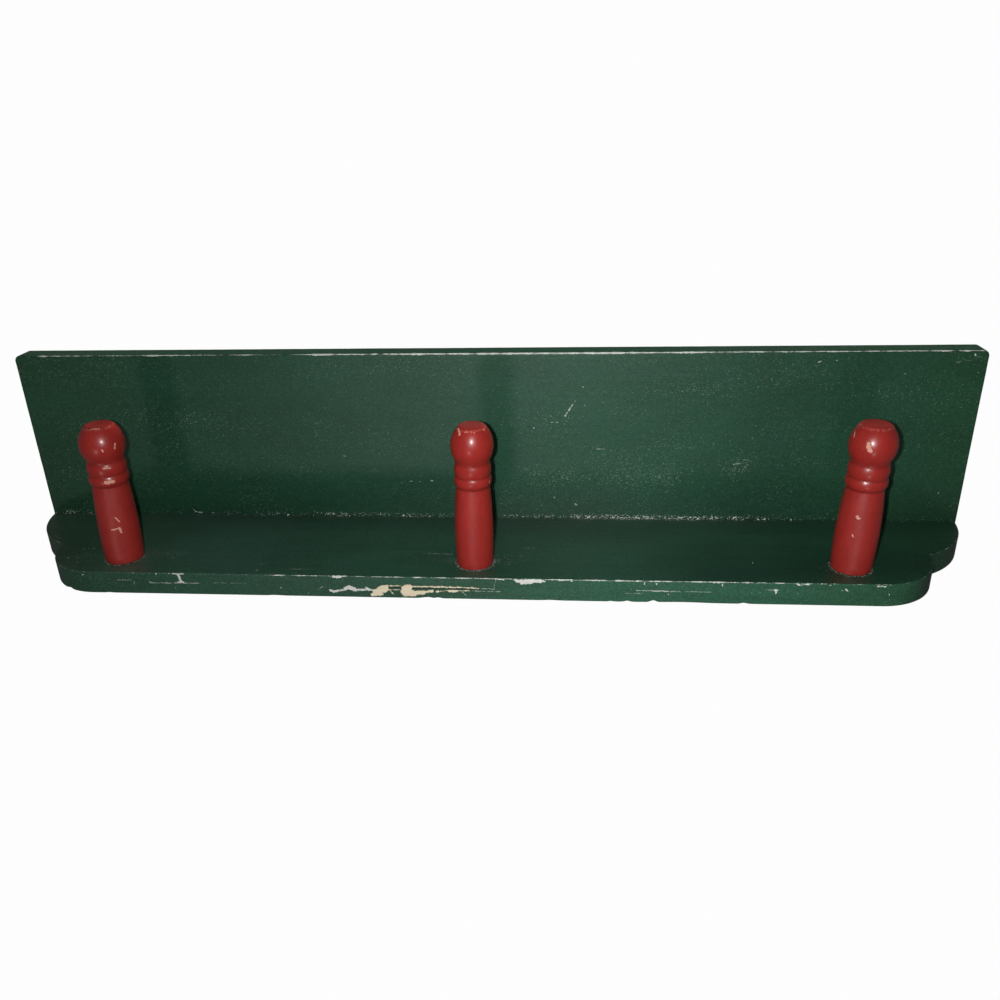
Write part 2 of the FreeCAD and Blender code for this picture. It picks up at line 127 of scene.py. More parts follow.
class PegRailBoards(bpy.types.PropertyGroup):
    """The shelf and the wall rail."""
    shelf_round: number("Shelf arris", 1.15 * MM, "Rounding of the shelf's worn edges")
    shelf_corner: number("Shelf corner", 4 * MM, "Radius of the shelf's front corners in plan")
    rail_round: number("Rail arris", 0.8 * MM, "Rounding of the rail's face")
    back_round: number("Back arris", 0.35 * MM, "Rounding of the edges at the wall")
    lobe_radius: number("Upper lobe", 55.8 * MM, "Radius of the rail's upper lobes")
    lobe_step: number("Lobe step", 31.7 * MM,
                      "How far the lower lobe stands in from the rail's end")
    lobe_drop: number("Lobe drop", 46.6 * MM, "From the shelf's underside to the notch")
    notch_radius: number("Notch", 0.6 * MM, "Inner corner where the two lobes meet")
    pitch: number("Outline pitch", 1.2 * MM, "Spacing of the points along a board's outline")


class PegRailPegs(bpy.types.PropertyGroup):
    """The turned pegs."""
    rings: IntProperty(name="Rings", default=280, min=40,
                       description="Rings along the turned profile")
    segments: IntProperty(name="Segments", default=96, min=16,
                          description="Segments round a peg")
    wobble: number("Wobble", 0.1 * MM, "Unevenness of hand sanding and thick enamel")


class PegRailColours(bpy.types.PropertyGroup):
    """Paint, wood and steel."""
    green: colour("Green", "2A5A45", "Dark green oil paint where it is clean")
    green_deep: colour("Deep green", "1F4733", "The same paint where it lies thick or dirty")
    cream: colour("Undercoat", "F0F3EA", "Chalky undercoat that chips show")
    wood: colour("Bare wood", "DFC297", "Pine where the undercoat has gone too")
    red: colour("Red", "B02E27", "Barn red enamel on the pegs")
    red_deep: colour("Deep red", "771C19", "Enamel pooled in the grooves")
    primer: colour("Primer", "F0AE96", "Pink primer in the pegs' chips")
    zinc: colour("Zinc", "B2B6B3", "Zinc plating on plates and screws")


class PegRailStage(bpy.types.PropertyGroup):
    """Floor, camera and lamps."""
    floor_drop: number("Floor", 1.45, "How far the floor lies below the hanging points")
    lamp_wide: number("Wide lamp", 5.7, "Even light of the lamp beside the lens", "POWER")
    lamp_middle: number("Middle lamp", 2.4, "Bright middle of the same lamp", "POWER")
    lamp_core: number("Core lamp", 1.4, "Bright core of the same lamp", "POWER")
    low_sun: number("Low light", 0.15, "Soft light from below and in front", "NONE")
    top_sun: number("Overhead light", 4.4, "Broad light from above", "NONE")
    back_sun: number("Back light", 1.6, "Light on the side that goes to the wall", "NONE")
    sky: number("Sky", 0.08, "Even light from all round", "NONE")


class PegRailSettings(bpy.types.PropertyGroup):
    """All settings of the object."""
    boards: PointerProperty(type=PegRailBoards)
    pegs: PointerProperty(type=PegRailPegs)
    colours: PointerProperty(type=PegRailColours)
    stage: PointerProperty(type=PegRailStage)


# Wear, in millimetres. A mark runs from one place to another and has half its width last.

# Chips along the rail's lower edge, down to the undercoat: x, y to x, y.
EDGE_CHIPS = [
    (-239.9, -12.3, -239, -12.2, 0.3), (-192.6, -14.6, -192.5, -13.8, 0.35),
    (-184.5, -14.8, -184.4, -14.5, 0.3), (-182.2, -14.3, -175.8, -14.3, 0.5),
    (-178.6, -13.4, -177.8, -8.8, 0.65), (-179.8, -8.3, -176.2, -8.3, 0.4),
    (-119.8, -14.7, -119.6, -14.2, 0.42), (-115.9, -5.8, -115.9, -5.4, 0.15),
    (-99.5, -2.2, -99.4, -1.8, 0.15), (-92.2, -14.6, -88.6, -14.6, 0.35),
    (-87, -14.6, -75.4, -14.4, 0.6), (-83.2, -14, -78.6, -13.9, 0.8),
    (-81.9, -13.5, -80.9, -13.4, 0.45), (-85.6, -4.6, -83.5, -3.6, 0.7),
    (-83.5, -3.6, -81, -4.2, 0.65), (-81, -4.3, -77.4, -4.9, 0.45), (-76.3, -5.6, -73.8, -7, 1.1),
    (-74, -6.6, -70.4, -5.2, 1.25), (-70.2, -5, -64.6, -5.2, 0.6), (-63.5, -6.4, -62.3, -5.2, 0.8),
    (-62.2, -5.6, -59.8, -5, 0.6), (-63.6, -14.9, -59.5, -14.9, 0.22),
    (-29.6, -14.8, -22.6, -14.7, 0.42), (-18.7, -14.8, -15.9, -14.8, 0.28),
    (-8.9, -14.8, -7, -14.8, 0.28), (14.4, -14, 18.9, -13.7, 0.3), (25, -13.5, 27.2, -13.5, 0.32),
    (26.8, -12.8, 41, -12.9, 0.9), (29.5, -11.7, 35.2, -12.1, 0.95),
    (41, -13.2, 42.8, -12.8, 0.55), (51.4, -13.7, 54.8, -13.6, 0.28),
    (58.3, -13.9, 58.6, -13.6, 0.34), (70.8, -14, 72, -14, 0.24), (74.6, -14, 75.6, -14, 0.24),
    (89.2, -14.4, 96.6, -14.6, 0.46), (84, -14.2, 89, -14.3, 0.2),
    (100.8, -13, 100.8, -11.8, 0.28), (107.5, -12.8, 107.6, -12.1, 0.26),
    (141.4, -14.9, 141.6, -14.5, 0.34), (145, -12.9, 145.1, -11.9, 0.28),
    (161, -14.6, 163.5, -14.6, 0.36), (168, -14.4, 169.6, -14.2, 0.42),
    (174.6, -9.6, 176, -9.4, 0.5), (175.5, -9, 175.5, -7.7, 0.55),
    (184.6, -14.6, 187.2, -14.2, 0.4), (187, -13.9, 188.3, -13.2, 0.6),
    (188.2, -14.2, 193.2, -13.5, 0.42), (205.2, -13.5, 205.4, -13.3, 0.28),
    (214, -10.9, 214.8, -10.1, 0.42), (231.2, -13.2, 235.8, -13.1, 0.26),
    (238.3, -8.1, 238.5, -7.6, 0.24), (114.5, -5.9, 114.5, -5.2, 0.18),
]

# Bare wood inside the largest chips of that edge, and along the gouges beside them.
EDGE_WOOD = [
    (-60.2, -2, -54.8, -2.6, 1.1), (-58, -3.8, -53, -6.8, 1.8), (-54.4, -7.2, -51, -7.8, 0.95),
    (-53, -4.6, -51.3, -5.8, 1.3), (-40.4, -6.9, -37.4, -7.5, 1.75), (-41, -4.4, -36.6, -4, 1.8),
    (-40.6, -2.9, -34.6, -3, 1.6), (-35, -3.6, -29.2, -4, 1.35), (-30, -4.2, -23.6, -5.1, 0.7),
    (-21.3, -4.8, -20.4, -4.8, 0.62), (-19.4, -5.2, -14.6, -5.5, 0.18),
    (-13.4, -5.4, -9.6, -5.3, 0.8), (-9, -5.6, -1.4, -5.8, 0.22), (-49.4, -8.2, -42.4, -8.3, 0.28),
    (-35.4, -8.1, -6, -7.9, 0.36), (-6, -7.9, 4, -7.5, 0.26), (-56.5, -5.8, -43, -5.5, 0.2),
    (-50.2, -6.1, -47.2, -2.4, 0.18),
]

# Painted shadows of the gouges between them, dark lines on the flat edge where no groove is cut:
# x, y to x, y.
EDGE_GOUGE_SHADOWS = [
    (-49.2, -7.3, -43.2, -7, 0.42), (-35, -6.9, -20, -6.9, 0.45), (-20, -6.9, -6, -6.9, 0.34),
    (-6, -6.9, 4, -6.6, 0.12),
]

# Scratches along that edge, through to the undercoat.
EDGE_SCRATCHES = [
    (-219, -9, -219.1, -7, 0.14), (-218, -9.1, -209.4, -9.2, 0.17),
    (-207.8, -7.8, -207.7, -6.5, 0.12), (-197.8, -8.4, -197.6, -7.2, 0.16),
    (-197.5, -7.6, -184, -7.5, 0.22), (-182, -7.7, -166.4, -7.8, 0.22),
    (-158.8, -8.2, -136.5, -8.3, 0.08), (-182.6, -5.2, -181.7, -2.8, 0.12),
    (-94.1, -4.1, -92.4, -5.6, 0.15), (-92.4, -5.6, -90, -6.8, 0.2), (4, -7.5, 13.2, -7.1, 0.16),
    (13.2, -7.2, 13.5, -10.5, 0.13), (13.5, -10.5, 14.4, -13.8, 0.14),
    (-8, -5.8, 16.9, -5.4, 0.15), (-5.8, -4.8, -3.8, -2.6, 0.18), (-19.3, -11, -16.6, -11.8, 0.12),
    (93.2, -9, 93.2, -7.9, 0.14), (96.3, -7.9, 103, -7.8, 0.18), (103, -7.8, 123, -7.6, 0.34),
    (107.9, -8, 108.6, -7.8, 0.45), (123, -7.6, 139, -7.6, 0.14), (89.4, -5.8, 101.5, -5.8, 0.1),
    (161.6, -7.6, 162.2, -7.4, 0.14), (166.2, -7.6, 166.8, -7.5, 0.12),
    (170, -9.6, 173.8, -9.6, 0.15), (181.9, -9.6, 181.2, -7.5, 0.1),
    (187.7, -7.6, 187.7, -7.1, 0.18), (211.8, -10.2, 214, -10.5, 0.2),
    (220.9, -10.6, 220.9, -9.8, 0.15),
]

# Marks on the rail's face: x, z to x, z.
FACE_SCRATCHES = [
    (-33, -33.4, -14.5, -34, 0.2), (29, -24.6, 36, -24.2, 0.14), (35.6, 7.2, 36.6, 6.9, 0.26),
    (165.9, -40, 166.1, -39.2, 0.28), (-131.5, -58.4, -131.3, -57.6, 0.32),
    (-122.2, -62.6, -121.4, -62.7, 0.4), (-254.6, -34.6, -249, -31.4, 0.16),
    (-249, -31.4, -247.6, -33, 0.14), (-258.2, -46.4, -257.6, -45.6, 0.25),
    (-252.2, -46, -251.8, -45.4, 0.24), (-248.8, -52, -248.5, -51.4, 0.22),
    (-192, -44.4, -189.6, -43.6, 0.14), (-276, -24, -273.4, -34, 0.16),
    (-113, -56.2, -100, -55.8, 0.18), (-137, -48.6, -128, -50.6, 0.12),
    (-284, -15.4, -277, -20, 0.16),
]

# Marks on the shelf's underside: x, y to x, y.
UNDER_SCRATCHES = [
    (53.4, -85.9, 57, -91.5, 0.34), (57, -91.5, 60, -96, 0.22), (44.3, -81.6, 49, -81.6, 0.24),
    (-203.2, -19.2, -201.4, -16.4, 0.24), (-201.4, -16.4, -197, -15.6, 0.26),
    (-50, -40.2, -41.4, -40, 0.14), (-35, -40.8, -34, -40.5, 0.28),
    (-93.4, -58.3, -91.6, -58, 0.24), (73.6, -63.6, 78.6, -63.6, 0.2),
    (161, -53.4, 168.6, -54.6, 0.22), (205.7, -119.8, 207.4, -120.6, 0.3),
    (216.4, -121.2, 217, -121, 0.22), (281.6, -126, 282.4, -126, 0.36),
    (286, -119, 289, -120.4, 0.12), (296, -124.6, 296.8, -123.2, 0.42),
    (291, -121, 294, -120.6, 0.12), (-304, -78, -303, -77.6, 0.3),
    (257.8, -112.8, 258.4, -112.4, 0.24), (-290.2, -46.8, -289.6, -46.4, 0.22),
    (290.2, -34.5, 290.6, -34.1, 0.24), (60.5, -24.5, 61.2, -24, 0.45),
    (33.4, -78.1, 33.9, -77.8, 0.26), (65.5, -93.1, 65.9, -92.9, 0.24),
    (64.4, -105.2, 64.8, -104.8, 0.28), (46.2, -29.4, 46.7, -29, 0.24),
    (135.2, -48.8, 135.7, -48.5, 0.22), (168.7, -51.6, 169.1, -51.2, 0.2),
    (300.1, -113.1, 300.6, -112.7, 0.28),
]

# Scuffs on the shelf's top, left by what stood there: x, y to x, y.
TOP_SCRATCHES = [
    (-236, -88, -205, -96, 0.16), (-171, -42, -166, -47, 0.22), (-90, -101, -52, -97, 0.14),
    (-21, -55, -14, -62, 0.26), (38, -77, 74, -84, 0.16), (74, -84, 92, -82, 0.12),
    (118, -35, 121, -41, 0.3), (186, -104, 197, -99, 0.22), (243, -63, 262, -58, 0.16),
    (271, -112, 274, -113, 0.4),
]

# Patches where pale dust lies thicker: a place, another place and half the width.
DUSTY = [
    ((30, -46, 20), (125, -44, 20), 6), ((-298, -14.3, 14), (-255, -14.3, 12), 6),
    ((-250, -14.3, -44), (-190, -14.3, -36), 6), ((288, -122, 20), (302, -122, 20), 1),
    ((158, -46, 20), (168, -56, 20), 3), ((-240, -90, 34.3), (-60, -70, 34.3), 14),
    ((70, -60, 34.3), (240, -84, 34.3), 10),
]

# Patches of painted shade on the rail's face, mostly on its right: a place, another place and half
# the width.
SHADED_PATCHES = [
    ((140, -14.3, -56), (205, -14.3, -46), 10), ((-292, -14.3, -20), (-262, -14.3, -44), 4),
    ((245, -14.3, -46), (285, -14.3, -36), 4),
]

# Half the width of the pale line on the shelf's front lower arris, and on the rail's, along them.
SHELF_LINE = [
    (0, 0), (0.025, 0.05), (0.035, 0.24), (0.06, 0.2), (0.095, 0.1), (0.115, 0.26), (0.14, 0.12),
    (0.155, 0.3), (0.175, 0.26), (0.2, 0.14), (0.215, 0.18), (0.235, 0.06), (0.252, 0.26),
    (0.27, 0.12), (0.3, 0.08), (0.325, 0.26), (0.345, 0.34), (0.37, 0.2), (0.4, 0.28),
    (0.43, 0.34), (0.46, 0.28), (0.485, 0.32), (0.505, 0.42), (0.53, 0.28), (0.57, 0.34),
    (0.6, 0.28), (0.64, 0.28), (0.72, 0.24), (0.8, 0.2), (0.9, 0.17), (0.95, 0.2), (0.985, 0.22),
    (1, 0.12),
]
RAIL_LINE = [
    (0, 0.04), (0.29, 0.04), (0.31, 0.16), (0.34, 0.14), (0.4, 0.1), (0.45, 0.14), (0.52, 0.14),
    (0.57, 0.12), (0.6, 0.18), (0.64, 0.2), (0.74, 0.16), (0.82, 0.12), (0.85, 0.06), (0.9, 0.06),
    (0.92, 0.02), (1, 0),
]

# How thickly pale specks lie along the joint of shelf and rail.
JOINT_LINE = [
    (0, 0.75), (0.07, 0.65), (0.12, 0.2), (0.17, 0.3), (0.24, 0.6), (0.3, 0.55), (0.335, 0.8),
    (0.37, 0.7), (0.42, 0.8), (0.455, 0.7), (0.5, 0.7), (0.56, 0.8), (0.62, 0.9), (0.65, 1),
    (0.72, 1), (0.75, 0.85), (0.8, 0.8), (0.83, 0.6), (0.88, 0.5), (0.95, 0.45), (1, 0.45),
]

# Bruises in the rail's lower arrises, behind and in front: x, width and depth.
BACK_BRUISES = [
    (-252.5, 2.2, 1.6), (-225, 2, 0.6), (-120, 4, 0.6), (-27, 3.2, 1.5), (-20.5, 1.8, 1.2),
    (46, 4, 0.6), (81.5, 1.5, 0.8), (91, 1.8, 1.6), (106, 2, 2.6), (123, 14, 0.9), (158, 2, 1.6),
]
FRONT_BRUISES = [
    (-179, 2.5, 0.5), (-82, 3.5, 0.6), (-27, 3, 0.4), (34, 6.5, 0.9), (55, 4, 0.3), (92, 4, 0.4),
    (163, 3, 0.3), (189, 3.5, 0.8),
]

# Chips in the pegs' enamel: from where to where, each as millimetres out from the rail's face
# and degrees round from straight down, and half the width.
PEG_CHIPS = [
    ("peg_left", (24.5, 9), (25, 30), 0.5), ("peg_left", (25, 30), (22, 33), 0.5),
    ("peg_left", (32, 25), (29.5, 33), 0.45), ("peg_left", (55, 19), (55, 39), 1),
    ("peg_left", (64, 20), (63.5, 39), 0.4), ("peg_left", (78, 61), (75, 58), 0.45),
    ("peg_left", (76, 27), (75, 28), 0.35), ("peg_left", (87.5, 0), (87.5, 31), 0.3),
    ("peg_centre", (87, -57), (85, -36), 0.5), ("peg_centre", (87, 59), (86.5, 60), 0.4),
    ("peg_centre", (86.5, -18), (86, 19), 0.15), ("peg_centre", (55, 67), (54.5, 66), 0.4),
    ("peg_right", (78.5, -29), (76.5, -23), 1.15), ("peg_right", (80, -30), (78.5, -28), 0.8),
    ("peg_right", (83.5, -86), (81, -76), 0.3), ("peg_right", (50.5, -107), (51, -96), 0.3),
    ("peg_right", (37, -26), (36, -22), 0.75), ("peg_right", (25.5, -29), (25, -28), 0.45),
]


# Boards

def along_line(table, share):
    """The value that a line given point by point has at a share of its length."""
    for (start, low), (end, high) in zip(table, table[1:]):
        if share <= end:
            return low + (high - low) * (share - start) / (end - start)
    return table[-1][1]


def bruise(place, bruises):
    """Extra rounding, in metres, at a place along an edge."""
    return sum(depth * math.exp(-((place / MM - middle) / width) ** 2)
               for middle, width, depth in bruises) * MM


def wander(point, length, seed):
    """Smooth noise from about -1 to 1 at a point of an outline, with features this long in mm."""
    return noise.noise(Vector((point[0] / MM / length, point[1] / MM / length, seed)))


def worn_round(base, point, seed):
    """Rounding of an arris at a point, uneven over two lengths as hands and knocks leave it."""
    return base * (1 + 0.22 * wander(point, 45, seed) + 0.16 * wander(point, 7, seed + 9))


def arc_points(centre, radius, start, end, pitch):
    """Points on an arc, both ends included."""
    count = max(2, round(abs(end - start) * radius / pitch))
    turns = [start + (end - start) * step / count for step in range(count + 1)]
    return [(centre[0] + radius * math.cos(turn), centre[1] + radius * math.sin(turn))
            for turn in turns]


def run_points(start, end, pitch):
    """Points on a straight run, both ends left out."""
    count = max(2, round(math.dist(start, end) / pitch))
    return [(start[0] + (end[0] - start[0]) * step / count,
             start[1] + (end[1] - start[1]) * step / count) for step in range(1, count)]


def outward(points):
    """Outward directions along an open chain that runs clockwise, level at both its ends."""
    directions = []
    for index in range(len(points)):
        before = points[max(index - 1, 0)]
        after = points[min(index + 1, len(points) - 1)]
        along = Vector((after[0] - before[0], after[1] - before[1])).normalized()
        directions.append(Vector((-along.y, along.x)))
    directions[0] = Vector((math.copysign(1, points[0][0]), 0))
    directions[-1] = Vector((math.copysign(1, points[-1][0]), 0))
    return directions


def place_object(name, data):
    placed = bpy.data.objects.new(name, data)
    bpy.context.collection.objects.link(placed)
    return placed


def link_piece(name, mesh, material):
    """An object of the mesh in the material."""
    data = bpy.data.meshes.new(name)
    mesh.to_mesh(data)
    mesh.free()
    data.materials.append(material)
    return place_object(name, data)


def skin_rings(mesh, made):
    """Join rings of equal count by faces, close the first and the last, and face outwards."""
    count = len(made[0])
    for lower, upper in zip(made, made[1:]):
        for index in range(count):
            following = (index + 1) % count
            mesh.faces.new((lower[index], lower[following], upper[following], upper[index]))
    mesh.faces.new(made[0])
    mesh.faces.new(made[-1])
    bmesh.ops.recalc_face_normals(mesh, faces=mesh.faces)


def board_object(name, material, chain, faces, to_space):
    """A board from its outline and its two faces: (depth, rounding, worn) each.

    rounding and worn give, at a point of the outline, the arris's radius and half the width
    of bare undercoat along it. The vertex value "wear" is that width less the distance from the
    arris, in millimetres. The edge that closes the open chain keeps its sharp corners.
    """
    steps, support = 6, 0.5
    directions = outward(chain)
    mesh = bmesh.new()
    wear = mesh.verts.layers.float.new("wear")
    sides = []
    for (depth, rounding, worn), (other, _, _) in (faces, faces[::-1]):
        inwards = math.copysign(1, other - depth)
        radii = [rounding(point) for point in chain]
        widths = [worn(point) for point in chain]
        side = []
        for step in range(-1, steps + 2):
            turn = math.radians(90) * min(max(step, 0), steps) / steps
            beyond_face = support * MM if step > steps else 0
            beyond_wall = support * MM if step < 0 else 0
            ring = []
            for point, direction, radius, width in zip(chain, directions, radii, widths):
                inset = radius * (1 - math.cos(turn)) + beyond_face
                rise = radius * (1 - math.sin(turn)) + beyond_wall
                vertex = mesh.verts.new(to_space(point[0] - direction.x * inset,
                                                 point[1] - direction.y * inset,
                                                 depth + inwards * rise))
                off = radius * abs(turn - math.radians(45)) / MM
                off += 3 * (beyond_face + beyond_wall) / MM
                vertex[wear] = max(width - off, -1.0)
                ring.append(vertex)
            side.append(ring)
        sides.append(side)
    skin_rings(mesh, sides[0][::-1] + sides[1])
    return link_piece(name, mesh, material)


def cutter_object(name, material, shapes):
    """One mesh that holds every cutter; each is a list of equal rings, closed at both ends."""
    mesh = bmesh.new()
    for rings in shapes:
        skin_rings(mesh, [[mesh.verts.new(place) for place in ring] for ring in rings])
    return link_piece(name, mesh, material)


def round_rings(centre, axis, stations, segments=48):
    """Rings about an axis ("Y" or "Z"): each station is (place along the axis, radius)."""
    rings = []
    for place, radius in stations:
        turns = [2 * math.pi * index / segments for index in range(segments)]
        spots = [(centre[0] + radius * math.cos(turn), centre[1] + radius * math.sin(turn))
                 for turn in turns]
        rings.append([(a, b, place) if axis == "Z" else (a, place, b) for a, b in spots])
    return rings


def slot_rings(x, low, high, width, near, far):
    """An upright slot with round ends, cut along Y."""
    radius = width / 2
    outline = arc_points((x, high - radius), radius, 0, math.pi, 0.5 * MM)
    outline += arc_points((x, low + radius), radius, math.pi, 2 * math.pi, 0.5 * MM)
    return [[(place[0], y, place[1]) for place in outline] for y in (near, far)]


def carve(piece, cutter):
    """Cut the cutter out of the piece for good, and delete the cutter."""
    cut = piece.modifiers.new("carve", "BOOLEAN")
    cut.operation = "DIFFERENCE"
    cut.solver = "EXACT"
    cut.use_self = True
    cut.material_mode = "TRANSFER"
    cut.object = cutter
    bake(piece)
    bpy.data.objects.remove(cutter)


def bake(piece):
    """Turn what the modifiers make into the piece's own plain mesh."""
    bpy.context.view_layer.update()
    graph = bpy.context.evaluated_depsgraph_get()
    finished = bpy.data.meshes.new_from_object(piece.evaluated_get(graph))
    former = piece.data
    piece.modifiers.clear()
    piece.data = finished
    finished.name = piece.name
    if finished.materials and finished.materials[0] is None:
        finished.materials.pop(index=0)
    if former.users == 0:
        bpy.data.meshes.remove(former)


def finish_piece(piece, slot, *nodes):
    """Smooth the piece and let it stand for its nodes."""
    for face in piece.data.polygons:
        face.use_smooth = True
    piece.data.set_sharp_from_angle(angle=math.radians(38))
    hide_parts(*nodes)
    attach(piece, "root")


def middle_of(node):
    """The middle of a node's box, to a hundredth of a millimetre."""
    low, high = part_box(node)
    return [round((a + b) / 2, 5) for a, b in zip(low, high)]


def make_shelf_mesh(settings, paint, pine):
    low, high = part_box("shelf_board")
    corner, pitch = settings.shelf_corner, settings.pitch
    right, front = high.x, low.y
    half = [(right, 0)] + run_points((right, 0), (right, front + corner), pitch)
    half += arc_points((right - corner, front + corner), corner, 0, -math.pi / 2, pitch / 3)
    chain = half + run_points(half[-1], (-half[-1][0], front), pitch)
    chain += [(-x, y) for x, y in reversed(half)]

    def worn_below(point):
        rub = 0.9 + 1.0 * wander(point, 6, 3) + 0.5 * wander(point, 1.6, 8)
        if point[1] > front + corner / 2:
            return 0.25 * rub - 0.10
        return 2.2 * along_line(SHELF_LINE, (point[0] + right) / (2 * right)) * max(rub, 0.2)

    def worn_above(point):
        return 0.18 + 0.6 * wander(point, 9, 5) + 0.2 * wander(point, 2, 6)

    faces = ((low.z, lambda point: worn_round(settings.shelf_round, point, 1), worn_below),
             (high.z, lambda point: worn_round(settings.shelf_round, point, 4), worn_above))
    piece = board_object("shelf_board_painted", paint, chain, faces, lambda x, y, z: (x, y, z))
    head, shank = 3.5 * MM, 1.9 * MM
    shapes = []
    for index in range(1, 5):
        plug_low, plug_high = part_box(f"screw_plug_{index}")
        bore = (plug_high.x - plug_low.x) / 2 + 0.1 * MM
        seat = plug_low.z
        shapes.append(round_rings(middle_of(f"screw_plug_{index}"), "Z", [
            (low.z - 2 * MM, shank), (seat - head + shank, shank), (seat, head), (seat, bore),
            (high.z + 2 * MM, bore)]))
    carve(piece, cutter_object("shelf_cutters", pine, shapes))
    return piece


def lobed_half(settings, right, top, bottom):
    """The right half of the rail's outline: upper lobe, eased notch and lower lobe."""
    pitch, ease = settings.pitch, settings.notch_radius
    corner = Vector((right, top))
    notch = Vector((right - settings.lobe_step, top - settings.lobe_drop))
    chord = notch - corner
    rise = math.sqrt(settings.lobe_radius ** 2 - (chord.length / 2) ** 2)
    centre = corner + chord / 2 + Vector((chord.y, -chord.x)).normalized() * rise
    start = math.atan2(*(corner - centre).yx)
    end = math.atan2(*(notch - centre).yx)
    lower_radius = top - bottom - settings.lobe_drop
    lower_centre = (notch.x - lower_radius, notch.y)
    upper = arc_points(centre, settings.lobe_radius, start, end + ease / settings.lobe_radius,
                       pitch)
    lower = arc_points(lower_centre, lower_radius, -ease / lower_radius, -math.pi / 2, pitch)
    bend = geometry.interpolate_bezier(upper[-1], notch, notch, lower[0], 5)[1:4]
    return upper + [tuple(place) for place in bend] + lower


def make_rail_mesh(settings, paint, pine):
    low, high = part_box("peg_rail")
    right, top, bottom = high.x, high.z, low.z
    half = lobed_half(settings, right, top, bottom)
    chain = half + run_points(half[-1], (-half[-1][0], bottom), settings.pitch)
    chain += [(-x, z) for x, z in reversed(half)]

    def front_round(point):
        extra = bruise(point[0], FRONT_BRUISES) if point[1] < bottom + 5 * MM else 0
        return worn_round(settings.rail_round, point, 2) + extra

    def back_round(point):
        extra = bruise(point[0], BACK_BRUISES) if point[1] < bottom + 8 * MM else 0
        return worn_round(settings.back_round, point, 6) + extra

    def front_worn(point):
        rub = 0.85 + 1.4 * wander(point, 5, 13) + 0.6 * wander(point, 1.5, 18)
        if point[1] > bottom + 1 * MM:
            return 0.25 * rub - 0.17
        return 2.0 * along_line(RAIL_LINE, (point[0] + right) / (2 * right)) * max(rub, 0.2)

    faces = ((low.y, front_round, front_worn), (0, back_round, lambda point: 0))
    piece = board_object("peg_rail_painted", paint, chain, faces, lambda x, z, y: (x, y, z))
    shapes = []
    for name in PEGS:
        middle = middle_of(name)
        bore, floor = 6.45 * MM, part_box(name)[1].y + 0.6 * MM
        shapes.append(round_rings((middle[0], middle[2]), "Y",
                                  [(low.y - 2 * MM, bore), (floor, bore)]))
    for index in range(1, 5):
        pilot, point = 1.75 * MM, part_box(f"shelf_screw_{index}")[0].z
        shapes.append(round_rings(middle_of(f"shelf_screw_{index}"), "Z", [
            (top + 2 * MM, pilot), (point + 4 * MM, pilot), (point - 1 * MM, 0.05 * MM)], 24))
    carve(piece, cutter_object("rail_cutters", pine, shapes))
    carve_hanger_seats(piece, pine)
    return piece


# A keyhole plate's recess is so wide; the hollow behind it has a foot, a top, a width and a depth.
RECESS_WIDTH = 15.4 * MM
HOLLOW = (-15.2 * MM, 3.9 * MM, 11.6 * MM, -9.1 * MM)


def carve_hanger_seats(piece, pine):
    """Behind each hanging point: the plate's recess, then the hollow, then the screws' pilots."""
    recesses, hollows, pilots = [], [], []
    for side in ("left", "right"):
        low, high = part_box(f"hanger_{side}")
        x, gap = (low.x + high.x) / 2, 0.2 * MM
        recesses.append(slot_rings(x, low.z - gap, high.z + gap, RECESS_WIDTH, low.y, 2 * MM))
        hollows.append(slot_rings(x, *HOLLOW, 1 * MM))
        for end in ("upper", "lower"):
            screw = f"hanger_screw_{side}_{end}"
            middle, pilot, point = middle_of(screw), 1.45 * MM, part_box(screw)[0].y
            pilots.append(round_rings((middle[0], middle[2]), "Y", [
                (1.5 * MM, pilot), (point - 1 * MM, pilot)], 24))
    for name, shapes in (("recess", recesses), ("hollow", hollows), ("pilot", pilots)):
        carve(piece, cutter_object(f"{name}_cutters", pine, shapes))


# Pegs

def three_point_arc(start, crown, end, count):
    """Points of the arc from start through crown to end, without its end."""
    (ax, ay), (bx, by), (cx, cy) = start, crown, end
    d = 2 * (ax * (by - cy) + bx * (cy - ay) + cx * (ay - by))
    ux = ((ax**2 + ay**2) * (by - cy) + (bx**2 + by**2) * (cy - ay)
          + (cx**2 + cy**2) * (ay - by)) / d
    uy = ((ax**2 + ay**2) * (cx - bx) + (bx**2 + by**2) * (ax - cx)
          + (cx**2 + cy**2) * (bx - ax)) / d
    radius = math.dist((ux, uy), start)
    first = math.atan2(ay - uy, ax - ux)
    middle = math.atan2(by - uy, bx - ux)
    sweep = (math.atan2(cy - uy, cx - ux) - first) % (2 * math.pi)
    if (middle - first) % (2 * math.pi) > sweep:
        sweep -= 2 * math.pi
    return [(ux + radius * math.cos(first + sweep * step / count),
             uy + radius * math.sin(first + sweep * step / count)) for step in range(count)]


# The peg's profile in millimetres: radius, distance from the rail's face; with a crown, an arc.
PEG_PROFILE = [
    ((0.0, 10.5), None),
    ((5.55, 10.5), None),
    ((6.35, 9.7), None),
    ((6.35, 0.0), None),
    ((11.0, 0.0), (11.25, -14.08)),
    ((10.0, -50.86), (11.1, -54.38)),
    ((10.35, -57.90), (10.9, -61.60)),
    ((10.4, -64.94), (10.2, -66.26)),
    ((10.6, -67.94), (12.5, -77.26)),
    ((7.8, -87.56), None),
    ((7.0, -88.0), None),
    ((0.0, -88.0), None),
]

# How each peg differs from the next: how far its tip leans right and up, and how much fuller
# its shaft is, in millimetres, then its girth.
PEGS = {
    "peg_left": (1.0, 1.2, 0.15, 1.05),
    "peg_centre": (1.3, 0.0, 0.35, 0.995),
    "peg_right": (3.5, 3.2, 0.45, 1.045),
}
PEG_LENGTH = 88.0
BELLY_REACH = 50.0


